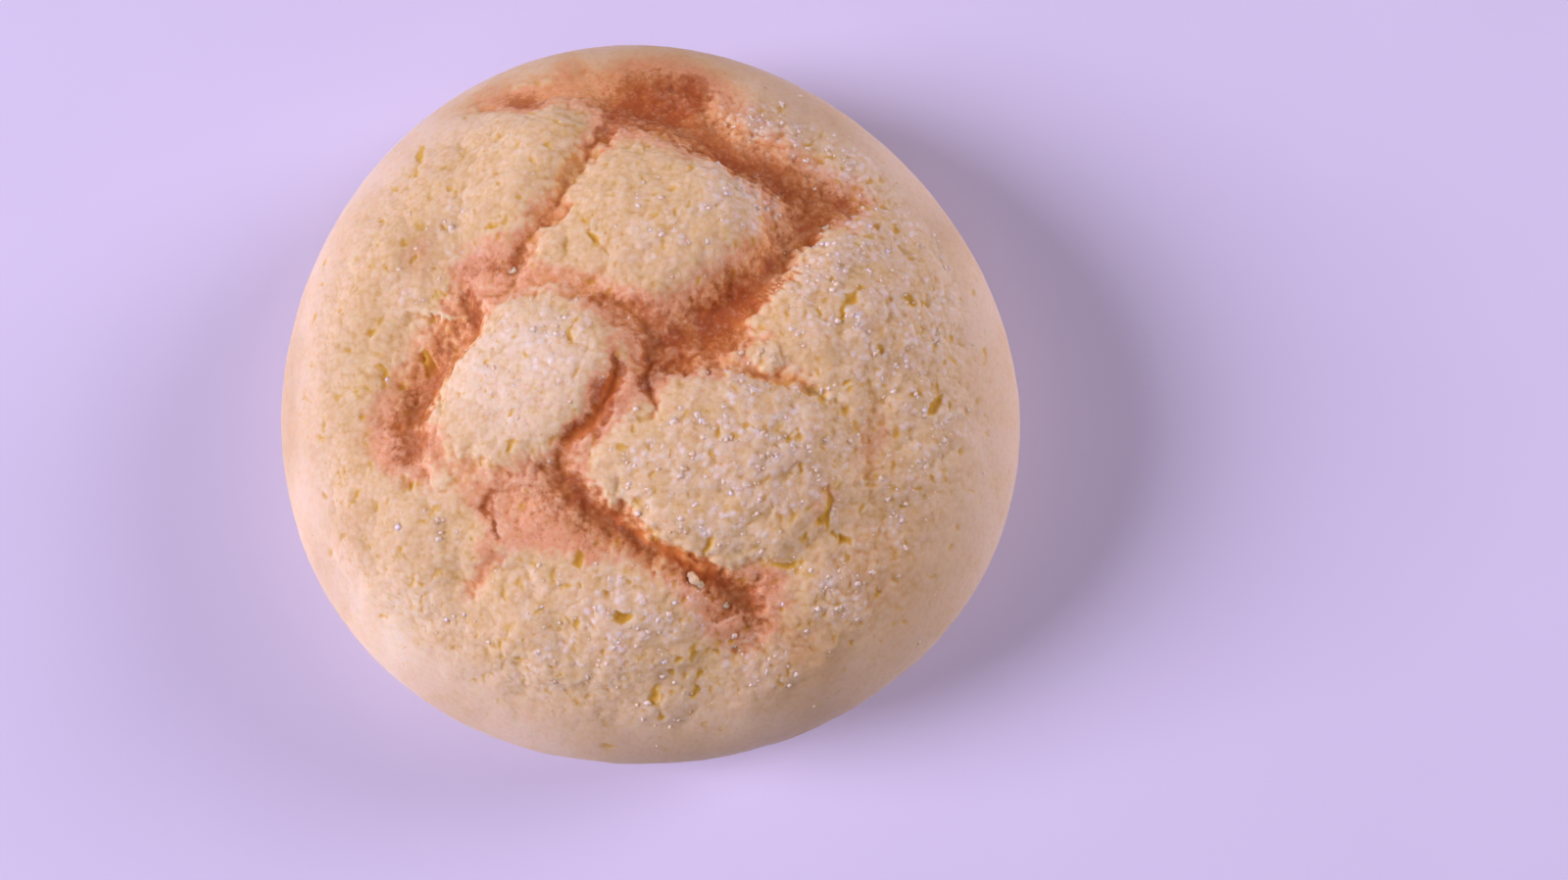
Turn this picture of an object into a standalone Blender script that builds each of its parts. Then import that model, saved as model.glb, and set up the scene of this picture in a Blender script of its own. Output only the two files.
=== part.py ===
"""Melon bread: one round bun, a soft loaf wrapped in a cookie crust.

The crust is scored, so while it bakes it splits along the cuts and the plates between them
rise as pillows. The bun is one solid: a domed top with its plates and splits, a rounded rim,
an under-curl, and a flat face that it rests on.

Units are metres, +Z is up, and the origin is the middle of the flat base.
Tables below are in millimetres, because that is how a baker would measure it.
"""

import bisect
import math

import bmesh
import bpy
from mathutils import Vector

MM = 0.001

# Driving sizes, in mm
MEAN_RADIUS = 61.93      # of the outline seen from above
HEIGHT = 46.0            # base to the crown of the dome, before the splits are sunk
RIM_HEIGHT = 17.0        # height of the widest line
BASE_SHARE = 0.82        # radius of the flat base over the outline's radius
DOME_POWER = 2.35        # above 2 is squarer than an ellipse: broad top, full shoulders
DOME_ROOT = 1.95
CURL_POWER = 2.15        # of the under-curl between rim and base
CENTRE = (0.77, 1.98)    # middle of the outline's box, taken off so that the origin lies there

# The outline isn't quite round: cosine and sine swings of its radius, in mm, by order
OUTLINE = {1: (0.09, 1.06), 2: (0.16, -0.69), 3: (0.65, -0.89)}

# Mesh
SPHERE_LEVEL = 5         # subdivisions of the icosphere that the bun is drawn from
BASE_START = 0.8         # share of the way from pole to pole at which the flat base begins
CUTS = 3                 # rounds of halving the edges that lie in a split
FINENESS = 0.4           # an edge in a split is halved while it is longer than this share of the split's width
NARROWEST = 2.0          # a split is never drawn narrower than the mesh can carry, in mm

# The splits between the plates. Each is a run of stations
# (x, y, width to the left, width to the right, depth), in mm, left and right as one walks it.
SPLITS = {
    "north": [(-27, 46.5, 4, 3, 1.0), (-11, 50, 7, 5, 1.6), (6, 43, 9, 6, 2.2), (20, 33.5, 7, 4, 2.2), (32, 29, 4, 4, 1.3)],
    "north_east": [(27, 27, 5, 6, 2.0), (21, 16.5, 3, 7.5, 2.7), (11, 7, 6, 6, 2.8), (1.5, 0.5, 3, 3, 2.0)],
    "north_west": [(-6.5, 40, 2, 2, 1.2), (-11.5, 33, 3, 2.6, 2.0), (-14.3, 25, 2.4, 2.6, 2.0), (-20, 14.5, 3, 3, 0.9)],
    "middle_west": [(-23, 11, 2.4, 1.4, 0.6), (-13, 13.5, 3.4, 2.6, 1.1), (-4, 9.5, 4, 3, 1.4), (3, 4.5, 3.5, 3.5, 1.8)],
    "west": [(-29, 21, 1.5, 3, 0.7), (-27.3, 11, 1.5, 4.5, 2.4), (-33.5, -1, 2.6, 6, 2.8),
             (-35.5, -11, 4, 5, 1.8), (-23, -17.5, 4, 4, 1.2), (-12, -19, 5, 5, 1.8)],
    "middle": [(-4, 2, 1.5, 1.3, 0.6), (-3.8, -3, 2.1, 1.6, 1.4), (-6, -8.2, 2.4, 1.8, 1.6), (-11.5, -16.5, 3, 3, 1.6)],
    "south": [(-12, -17, 3, 5, 2.0), (-1, -25, 2.6, 4.5, 2.8), (10, -31, 2.4, 2.6, 2.6), (18, -37, 3, 5, 1.7)],
    "east": [(5, 1, 2, 2, 1.8), (14, 0.4, 2.2, 1.6, 1.6), (25, -2.4, 2.2, 1.8, 1.2), (35.8, -8, 3, 2.2, 0.8),
             (35.3, -16, 2, 1.5, 0.8)],
}

# The pillows that the plates rise to, some of them leaning:
# (x, y, half-length, half-width, turn in degrees, rise, lean along x, lean along y), leans in mm per mm
PILLOWS = {
    "north_plate": (3.5, 23.5, 17.5, 13.5, -12, 2.5, 0.05, -0.01),
    "west_plate": (-15, -1.5, 17, 13.5, 25, 2.1, 0.16, -0.02),
    "south_east_plate": (11.5, -14, 21, 15.5, -8, 2.7, 0.03, 0.02),
    "east_plate": (31, 11, 13, 17, 0, 1.5, 0, 0),
    "north_west_plate": (-19, 31.5, 9, 14.5, -22, 1.8, 0.05, 0),
    "south_plate": (-8, -39, 18, 8.5, -8, 1.2, 0, 0),
    "west_ring": (-47, 16, 10, 18, 0, 0.9, 0, 0),
    "south_west_ring": (-38, -26, 13, 9, -50, 1.2, 0, 0),
    "south_east_ring": (30, -34, 9, 7, 40, 0.9, 0, 0),
}

# The broad dips that the splits run in: (x, y, half-length, half-width, turn in degrees, depth)
DIPS = {
    "west": (-38, 2, 18, 11, 80, 3.0),
    "south": (16, -40, 11, 8, 50, 2.3),
    "north_east": (25, 27, 10, 8, -45, 1.2),
    "north": (2, 46, 17, 7, -5, 1.3),
    "middle": (10, 8, 13, 6.5, 45, 0.9),
    "south_west": (-20, -21, 13, 6, -5, 0.9),
    "south_middle": (-4, -22, 12, 6, -35, 0.8),
    "east": (36, -14, 7, 12, 0, 0.8),
    "west_middle": (-24, 14, 8, 6, 0, 0.8),
    "far_north_east": (24, 44, 14, 7, -35, 0.8),
}


def outline_radius(angle):
    swing = sum(a * math.cos(k * angle) + b * math.sin(k * angle) for k, (a, b) in OUTLINE.items())
    return MEAN_RADIUS + swing


def side_profile():
    """The bun's side from crown to base edge: rows of (share of the way along the curve, share of the outline's radius, height)."""
    points = []
    for i in range(401):
        share = math.sin(i / 400 * math.pi / 2)
        points.append((share, RIM_HEIGHT + (HEIGHT - RIM_HEIGHT) * (1 - share**DOME_POWER) ** (1 / DOME_ROOT)))
    for i in range(1, 201):
        turn = i / 200 * math.pi / 2
        out = math.cos(turn) ** (2 / CURL_POWER)
        down = math.sin(turn) ** (2 / CURL_POWER)
        points.append((BASE_SHARE + (1 - BASE_SHARE) * out, RIM_HEIGHT * (1 - down)))
    points[-1] = (BASE_SHARE, 0.0)
    run = [0.0]
    for (r0, z0), (r1, z1) in zip(points, points[1:]):
        run.append(run[-1] + math.hypot((r1 - r0) * MEAN_RADIUS, z1 - z0))
    return [(length / run[-1], share, height) for length, (share, height) in zip(run, points)]


def plain_point(direction, profile, ways):
    """The point of the plain bun, without its relief, that a direction from a sphere's centre stands for, and its outward normal."""
    down = math.acos(max(-1.0, min(1.0, direction.z))) / math.pi / BASE_START
    angle = math.atan2(direction.y, direction.x)
    radius = outline_radius(angle)
    if down >= 1 - 1e-6:
        share = BASE_SHARE * (1 / BASE_START - down) / (1 / BASE_START - 1)
        return Vector((share * radius * math.cos(angle), share * radius * math.sin(angle), 0.0)), Vector((0, 0, -1))
    k = max(1, min(len(profile) - 1, bisect.bisect_right(ways, down)))
    (w0, r0, z0), (w1, r1, z1) = profile[k - 1], profile[k]
    t = (down - w0) / (w1 - w0)
    share, height = r0 + (r1 - r0) * t, z0 + (z1 - z0) * t
    normal = Vector(((z0 - z1) * math.cos(angle), (z0 - z1) * math.sin(angle), (r1 - r0) * radius)).normalized()
    return Vector((share * radius * math.cos(angle), share * radius * math.sin(angle), height)), normal


def smooth_run(stations, per_span=14):
    """The stations joined by a Catmull-Rom curve, every column of them alike."""
    ends = [stations[0], *stations, stations[-1]]
    made = []
    for p0, p1, p2, p3 in zip(ends, ends[1:], ends[2:], ends[3:]):
        for i in range(per_span):
            t = i / per_span
            made.append(tuple(
                0.5 * (2 * b + (c - a) * t + (2 * a - 5 * b + 4 * c - d) * t * t + (3 * b - a - 3 * c + d) * t**3)
                for a, b, c, d in zip(p0, p1, p2, p3)
            ))
    made.append(tuple(float(v) for v in stations[-1]))
    return made


def nearest_station(x, y, run):
    """How far (x, y) lies from one split, the split's width on that side, and its depth there."""
    near = min(range(len(run)), key=lambda i: (run[i][0] - x) ** 2 + (run[i][1] - y) ** 2)
    px, py, left, right, depth = run[near]
    ax, ay = run[max(0, near - 1)][:2]
    bx, by = run[min(len(run) - 1, near + 1)][:2]
    side = (bx - ax) * (y - py) - (by - ay) * (x - px)
    return math.hypot(x - px, y - py), 1.3 * max(NARROWEST, left if side > 0 else right), depth


def split_depth(x, y, run):
    """How deep one split is at (x, y): full in its bed, and rising to nothing over its width on either side."""
    away, width, depth = nearest_station(x, y, run)
    return depth * (1 - (away / width) ** 2) ** 2 if away < width else 0.0


def from_middle(x, y, oval):
    """Squared distance of (x, y) from the middle of an oval, 1 on its edge."""
    px, py, half_length, half_width, turn = oval[:5]
    c, s = math.cos(math.radians(turn)), math.sin(math.radians(turn))
    u = ((x - px) * c + (y - py) * s) / half_length
    v = ((y - py) * c - (x - px) * s) / half_width
    return u * u + v * v


def pillow_rise(x, y, pillow):
    px, py, _, _, _, rise, lean_x, lean_y = pillow
    return (rise + lean_x * (x - px) + lean_y * (y - py)) * max(0.0, 1 - from_middle(x, y, pillow)) ** 0.9


def dip_depth(x, y, dip):
    return dip[5] * math.exp(-1.2 * from_middle(x, y, dip))


def relief(x, y, runs):
    """Height of the crust over the plain dome at (x, y), in mm. Splits that cross don't add up."""
    depth = sum(split_depth(x, y, run) ** 4 for run in runs) ** 0.25
    return sum(pillow_rise(x, y, p) for p in PILLOWS.values()) - sum(dip_depth(x, y, d) for d in DIPS.values()) - depth


def cut_finer(bm, profile, ways, runs):
    """Halve the edges that lie in a split and are too long to show its shape, keeping every vertex on the unit sphere."""
    for _ in range(CUTS):
        long_edges = []
        for edge in bm.edges:
            a, _ = plain_point(edge.verts[0].co, profile, ways)
            b, _ = plain_point(edge.verts[1].co, profile, ways)
            x, y, z = (a + b) / 2
            if z < RIM_HEIGHT or math.hypot(x, y) > 0.95 * MEAN_RADIUS:
                continue
            for run in runs:
                away, width, _ = nearest_station(x, y, run)
                if away < width and (a - b).length > FINENESS * width:
                    long_edges.append(edge)
                    break
        bmesh.ops.subdivide_edges(bm, edges=long_edges, cuts=1, use_grid_fill=True)
        bmesh.ops.triangulate(bm, faces=[face for face in bm.faces if len(face.verts) > 3])
        for vert in bm.verts:
            vert.co.normalize()


def make_bun():
    """A fine sphere drawn out to the bun's profile, then pushed in and out along its normal by the relief."""
    profile = side_profile()
    ways = [row[0] for row in profile]
    runs = [smooth_run(stations) for stations in SPLITS.values()]
    bpy.ops.mesh.primitive_ico_sphere_add(subdivisions=SPHERE_LEVEL, radius=1.0)
    bun = bpy.context.object
    bun.name = bun.data.name = "melon_bread"
    bm = bmesh.new()
    bm.from_mesh(bun.data)
    cut_finer(bm, profile, ways, runs)
    for vert in bm.verts:
        point, normal = plain_point(vert.co, profile, ways)
        fade = 0.0
        if point.z >= RIM_HEIGHT:
            share = math.hypot(point.x, point.y) / outline_radius(math.atan2(point.y, point.x))
            fade = min(1.0, max(0.0, (1.0 - share) / 0.1))
        vert.co = point + normal * (relief(point.x, point.y, runs) * fade) if fade else point
    bmesh.ops.translate(bm, verts=bm.verts, vec=(-CENTRE[0], -CENTRE[1], 0.0))
    bmesh.ops.scale(bm, verts=bm.verts, vec=(MM, MM, MM))
    bmesh.ops.recalc_face_normals(bm, faces=bm.faces)
    bm.to_mesh(bun.data)
    bm.free()
    bun.data.shade_smooth()
    bun.data.set_sharp_from_angle(angle=math.radians(60))
    return bun


def crust_material():
    """Pale cream cookie crust, dry and matt."""
    material = bpy.data.materials.new("cookie_crust")
    material.use_nodes = True
    shader = material.node_tree.nodes["Principled BSDF"]
    shader.inputs["Base Color"].default_value = (0.78, 0.55, 0.29, 1.0)
    shader.inputs["Roughness"].default_value = 0.75
    shader.inputs["Metallic"].default_value = 0.0
    return material


def main():
    for old in list(bpy.data.objects):
        bpy.data.objects.remove(old, do_unlink=True)
    bun = make_bun()
    bun.data.materials.append(crust_material())
    shelf = bpy.data.collections.new("melon_bread")
    bpy.context.scene.collection.children.link(shelf)
    for other in list(bun.users_collection):
        other.objects.unlink(bun)
    shelf.objects.link(bun)


main()
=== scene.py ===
"""The looks of the melon bread: its cookie crust, the loaf that shows underneath, the sugar on it and a few crumbs.

Everything is worked out in millimetres about the outline's own centre and moved to the frame, in metres, at the end.
"""
import math

import bpy
import numpy as np
from mathutils import Matrix, Vector


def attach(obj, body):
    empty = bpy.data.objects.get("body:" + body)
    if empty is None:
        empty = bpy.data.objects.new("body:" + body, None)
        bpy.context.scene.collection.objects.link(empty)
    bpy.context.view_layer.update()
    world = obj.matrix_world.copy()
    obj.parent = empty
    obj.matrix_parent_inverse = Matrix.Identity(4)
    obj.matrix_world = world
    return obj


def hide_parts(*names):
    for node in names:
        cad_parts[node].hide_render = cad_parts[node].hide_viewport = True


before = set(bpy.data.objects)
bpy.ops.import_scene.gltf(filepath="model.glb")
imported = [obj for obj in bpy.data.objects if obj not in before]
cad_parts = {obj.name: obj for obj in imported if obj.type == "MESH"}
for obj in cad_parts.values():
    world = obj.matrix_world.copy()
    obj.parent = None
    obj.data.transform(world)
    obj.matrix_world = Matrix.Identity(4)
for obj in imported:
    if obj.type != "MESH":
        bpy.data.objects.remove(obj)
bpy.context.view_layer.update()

MM = 0.001
CENTRE = np.array([0.77, 1.98, 0.0])     # from the outline's polar centre to the frame's origin, mm

# ---------------------------------------------------------------- camera and stage
# The camera looks almost straight down, from 0.25 m, with a wide lens.
camera_data = bpy.data.cameras.new("camera")
camera_data.sensor_width = 36.0
camera_data.sensor_fit = "HORIZONTAL"
camera_data.lens = 31.275
camera_data.clip_start = 0.01
camera_data.clip_end = 20.0
camera = bpy.data.objects.new("camera", camera_data)
bpy.context.scene.collection.objects.link(camera)
RIGHT = Vector((0.99953448, 0.00683961, 0.02973294))
UP = Vector((-0.01195854, 0.98439505, 0.1755659))
FORWARD = Vector((0.02806815, 0.17583974, -0.98401858))
EYE = (np.array([16.26979, -46.69410, 245.17870]) - CENTRE) * MM
camera.matrix_world = Matrix((
    (RIGHT.x, UP.x, -FORWARD.x, EYE[0]),
    (RIGHT.y, UP.y, -FORWARD.y, EYE[1]),
    (RIGHT.z, UP.z, -FORWARD.z, EYE[2]),
    (0, 0, 0, 1),
))
bpy.context.scene.camera = camera


# ---------------------------------------------------------------- noise
EDGES = np.array([(1, 1, 0), (-1, 1, 0), (1, -1, 0), (-1, -1, 0), (1, 0, 1), (-1, 0, 1), (1, 0, -1), (-1, 0, -1),
                  (0, 1, 1), (0, -1, 1), (0, 1, -1), (0, -1, -1)], float)


def mix_bits(ix, iy, iz, seed):
    h = (ix * 374761393 + iy * 668265263 + iz * 1442695041 + seed * 974634777) & 0xFFFFFFFF
    h = ((h ^ (h >> 13)) * 1274126177) & 0xFFFFFFFF
    h = ((h ^ (h >> 16)) * 2246822519) & 0xFFFFFFFF
    return h ^ (h >> 15)


def noise(points, size, seed):
    """Gradient noise, about -1 to 1, with features of that size in mm."""
    q = points / size
    i = np.floor(q).astype(np.int64)
    f = q - i
    w = f * f * f * (f * (f * 6 - 15) + 10)
    total = np.zeros(len(points))
    for corner in range(8):
        d = (corner & 1, corner >> 1 & 1, corner >> 2 & 1)
        h = mix_bits(i[:, 0] + d[0], i[:, 1] + d[1], i[:, 2] + d[2], seed) % 12
        g = EDGES[h]
        dot = (f[:, 0] - d[0]) * g[:, 0] + (f[:, 1] - d[1]) * g[:, 1] + (f[:, 2] - d[2]) * g[:, 2]
        share = (w[:, 0] if d[0] else 1 - w[:, 0]) * (w[:, 1] if d[1] else 1 - w[:, 1]) * (w[:, 2] if d[2] else 1 - w[:, 2])
        total += share * dot
    return total * 1.25


def cells(points, size, seed):
    """Cellular noise: distance to the nearest cell's middle and how far the second nearest is beyond it, both over size."""
    q = points / size
    i = np.floor(q).astype(np.int64)
    near = np.full(len(points), 9.0)
    second = np.full(len(points), 9.0)
    for dx in (-1, 0, 1):
        for dy in (-1, 0, 1):
            for dz in (-1, 0, 1):
                c = i + (dx, dy, dz)
                h = mix_bits(c[:, 0], c[:, 1], c[:, 2], seed)
                middle = c + np.stack([(h & 1023) / 1023, (h >> 10 & 1023) / 1023, (h >> 20 & 1023) / 1023], 1)
                d = np.sqrt(((middle - q) ** 2).sum(1))
                second = np.where(d < near, near, np.minimum(second, d))
                near = np.minimum(near, d)
    return near, second - near


def step(low, high, value):
    t = np.clip((value - low) / (high - low), 0, 1)
    return t * t * (3 - 2 * t)


# ---------------------------------------------------------------- the plain bun
MEAN_RADIUS, HEIGHT, RIM_HEIGHT, BASE_SHARE = 61.93, 46.0, 17.0, 0.82
DOME_POWER, DOME_ROOT, CURL_POWER = 2.35, 1.95, 2.15
OUTLINE = {1: (0.09, 1.06), 2: (0.16, -0.69), 3: (0.65, -0.89)}


def outline_radius(angle):
    return MEAN_RADIUS + sum(a * np.cos(k * angle) + b * np.sin(k * angle) for k, (a, b) in OUTLINE.items())


def side_table():
    share = np.sin(np.linspace(0, math.pi / 2, 801))
    dome = np.stack([share, RIM_HEIGHT + (HEIGHT - RIM_HEIGHT) * (1 - share**DOME_POWER) ** (1 / DOME_ROOT)], 1)
    turn = np.linspace(0, math.pi / 2, 401)[1:]
    out = np.cos(turn) ** (2 / CURL_POWER)
    curl = np.stack([BASE_SHARE + (1 - BASE_SHARE) * out, RIM_HEIGHT * (1 - np.sin(turn) ** (2 / CURL_POWER))], 1)
    table = np.concatenate([dome, curl])
    table[-1] = (BASE_SHARE, 0)
    way = np.concatenate([[0], np.cumsum(np.hypot(np.diff(table[:, 0]) * MEAN_RADIUS, np.diff(table[:, 1])))])
    return way, table[:, 0], table[:, 1]


WAY, SHARE, LEVEL = side_table()
RIM_WAY = float(np.interp(0.5, (np.arange(len(WAY)) >= 800).astype(float)[799:802], WAY[799:802]))
END_WAY = float(WAY[-1])


def on_bun(way, angle):
    """Points of the plain bun and their outward normals, at those ways down its side from the crown, in mm, and angles."""
    radius = outline_radius(angle)
    share, level = np.interp(way, WAY, SHARE), np.interp(way, WAY, LEVEL)
    points = np.stack([share * radius * np.cos(angle), share * radius * np.sin(angle), level], 1)
    e = 0.4
    run = (np.interp(way + e, WAY, SHARE) - np.interp(way - e, WAY, SHARE)) * radius
    fall = np.interp(way - e, WAY, LEVEL) - np.interp(way + e, WAY, LEVEL)
    normals = np.stack([fall * np.cos(angle), fall * np.sin(angle), run], 1)
    normals[way < e] = (0, 0, 1)
    return points, normals / np.linalg.norm(normals, axis=1)[:, None]


# ---------------------------------------------------------------- splits, plates and toasting
# A split is a run of stations (x, y, width to the left, width to the right, depth, toasting), left and right as one walks it.
SPLITS = {
    "north": [(-27, 46.5, 4, 3, 1.2, .25), (-20, 48.5, 5, 4, 1.6, .35), (-11, 50, 7, 5, 1.8, .3), (-2, 47.5, 9, 7, 2.4, .6),
              (6, 42.5, 10, 6, 2.6, .55), (13, 37.5, 9, 4.5, 2.8, .55), (20, 33.5, 8, 4, 2.6, .5), (26, 29.5, 7, 5, 2.4, .55),
              (32, 29, 5, 4, 1.5, .5)],
    "north_east": [(27, 27, 3.4, 6, 2.2, .5), (24.5, 22, 2.2, 6.4, 2.6, .52), (21, 16.5, 3, 6.4, 2.9, .55),
                   (16, 11.5, 5, 6.4, 2.9, .58), (10.5, 7, 7.6, 6, 2.7, .6), (5, 3.5, 5, 5, 1.5, .6), (1.5, 0, 3, 3, 1.1, .5)],
    "north_west": [(-6.5, 40, 2, 2, 1.2, .7), (-8.5, 36.5, 2.6, 2.4, 1.8, .4), (-11.5, 33, 3, 2.6, 2.0, .26),
                   (-13.2, 28.5, 2.6, 2.6, 2.0, .3), (-14.3, 25, 2.6, 2.6, 1.9, .42), (-17, 21, 2.6, 2.6, 1.4, .45),
                   (-18.8, 17.5, 2.6, 2.6, 1.1, .5), (-20, 14.5, 3, 3, .7, .4)],
    "middle_west": [(-23, 11, 2.4, 1.8, .5, .4), (-18, 12.5, 3.4, 2.4, .8, .35), (-13, 13.5, 3.4, 2.8, .9, .28), (-8, 12, 4, 3, 1.1, .32),
                    (-4, 9.5, 4, 3.2, 1.2, .4), (0, 7, 4, 3.5, 1.3, .45), (3, 4.5, 3.5, 3.5, 1.4, .5)],
    "west": [(-28.6, 15.5, 2, 2.6, .6, .2), (-27.4, 11.5, 2.2, 4, 2.0, .5), (-26, 7.5, 2.6, 4.8, 2.6, .55),
             (-29.5, 3.5, 3.0, 6.5, 3.0, .48), (-33, -1, 3.4, 7, 3.1, .48), (-35.5, -6, 3.4, 6.5, 2.7, .48), (-35.5, -11, 4.4, 5, 1.7, .45),
             (-33, -15, 3.4, 4, 1.0, .35)],
    "south_west": [(-34, -11, 3, 3, 1.2, .35), (-29, -14, 3, 3, 1.1, .28), (-23, -17.5, 4, 4, 1.1, .28), (-17, -20, 5, 5, 1.2, .36),
                   (-11, -19, 5, 5, 1.4, .42)],
    "west_crease": [(-20.3, -16.5, .8, .8, .4, .35), (-22.8, -19.5, .9, .9, .9, .6), (-21.7, -22.5, .9, .9, .9, .6),
                    (-20, -25.5, .9, .9, .6, .5)],
    "west_crease_end": [(-20.8, -29, 2, 2, .4, .3), (-23.5, -31.5, 2, 2, .6, .35), (-26, -34, 1.5, 1.5, .3, .25)],
    "south": [(-12, -17, 3.4, 5, 1.5, .5), (-6.5, -21, 3.4, 5.5, 2.1, .52), (-1, -25, 3, 4.5, 2.6, .52), (4.5, -28, 2.4, 3.2, 2.8, .5),
              (10, -31, 2.6, 2.8, 2.7, .6), (15, -33.5, 4, 4.5, 2.3, .6), (18, -37, 3, 5, 1.8, .55), (17, -41, 3, 3, .9, .35)],
    "middle": [(-4.2, 3, 1.4, 1.2, .3, .3), (-4, 1.2, 1.5, 1.3, .6, .5), (-3.5, -.8, 1.8, 1.4, 1.2, .7), (-3.9, -3.2, 2.0, 1.5, 1.6, .75),
               (-5.2, -6.6, 2.4, 1.8, 1.9, .8), (-6.6, -9.4, 2.0, 1.7, 1.6, .75), (-9.3, -10.9, 1.8, 1.7, 1.4, .7),
               (-10.4, -13.4, 2.2, 2.0, 1.3, .6), (-11.5, -16.5, 3, 3, 1.2, .5)],
    "middle_east": [(2.4, .5, 1.8, 1.8, 1.4, .8), (1.2, -2.4, 1.5, 1.3, 1.1, .6), (2.3, -6, 1.4, 1.2, .9, .3), (.8, -8.5, 1.0, 1.0, .4, .12)],
    "east": [(5, 1, 2, 2, 2, .7), (9, .3, 2, 1.6, 1.7, .42), (14, .4, 2.2, 1.6, 1.7, .3), (19, -.6, 2.2, 1.7, 1.6, .24),
             (24, -2.2, 2.2, 1.8, 1.3, .2), (30, -5, 1.8, 1.8, .8, .1)],
    "far_east": [(36, -3, 2.5, 2.5, .4, .06), (36.2, -8, 3.4, 2.8, .8, .1), (35.6, -12, 3.2, 2.4, .9, .1), (35.3, -16, 2, 1.5, .8, .08)],
}

# How much painted glow the bottoms of these splits get, a light orange that stands in for light coming through the
# crumb; the other splits get 0.35
PAINTED_GLOW_SHARES = {"middle": 1.2, "south": .8, "middle_east": .9, "north_west": .6}

# Cliffs: on the left of these splits a plate's crumbly edge stands up and the toasting ends there, over that share of the run
CLIFFS = {"north_east": (.06, .74), "south": (.12, .74), "west": (.25, .8)}

# Short open cracks in the cream, that show the yellow crumb: runs of (x, y, half-width, depth)
CRACKS = [
    [(28.3, -18, .5, 1), (28.5, -20, .6, 1.3), (28.3, -22.2, .6, 1.3), (28.5, -23.8, .5, 1)],
    [(28.3, -22.5, .6, 1.2), (26.5, -23.5, .7, 1.3), (25, -25, .6, 1)],
    [(25, -27.5, .6, .7), (24.5, -29, .7, .8), (21, -29.3, .7, .8), (18, -28.6, .6, .7)],
    [(30, -26, .7, .9), (31.5, -25.5, .8, 1), (33.5, -27, .7, .8)],
    [(-8, -27.5, .8, 1), (-7.8, -30, .8, 1.2), (-8, -33, .6, .9)],
    [(-3.5, -34, .8, 1.2), (-2.5, -36, .9, 1.3), (-.8, -37, .8, 1.1)],
    [(-9.5, -35.5, .6, 1), (-8, -35, .6, .9)],
    [(-9.3, 6.3, .4, .8), (-10, 4, .45, .8), (-9.6, 2, .3, .6)],
    [(-8.4, -1, .3, .6), (-9.2, -3, .3, .6)],
    [(-8, 21, .6, 1.2), (-6.5, 19, .7, 1.3), (-5, 17, .5, 1)],
    [(6.3, 29.6, .4, .8), (7, 30.8, .5, .8), (7.2, 32, .4, .6)],
    [(10.5, -28, .5, .8), (11.3, -25.5, .5, .8), (12.4, -24, .7, 1)],
    [(-37, 33.5, .6, .8), (-36.6, 36.8, .8, .9), (-37.5, 39, .5, .7)],
    [(-42, 1.5, .5, .8), (-41.4, -.5, .5, .8), (-41.7, -2.5, .4, .7)],
    [(-34.6, 3, 1.4, 1.4), (-34.8, .5, 1.6, 1.6), (-34.3, -2, 1.2, 1.3)],
    [(9, -41.5, .5, .7), (8.6, -44, .6, .9), (9.8, -46, .6, .8), (9, -49, .5, .7)],
    [(3.5, -47, .5, .7), (3, -49.5, .6, .8), (4, -52, .5, .7)],
    [(44, -6, .7, .9), (46, -3.3, 1, 1.2), (46.8, -2.6, .6, .9)],
    [(30.3, 8, .6, 1), (31.4, 11, .8, 1.1), (33, 13, .5, .8)],
    [(-23.5, 22, .5, .8), (-21.6, 22.6, .8, 1.1)],
    [(41, 12.6, .8, 1.1), (42.2, 12, .5, .9)],
]

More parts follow.
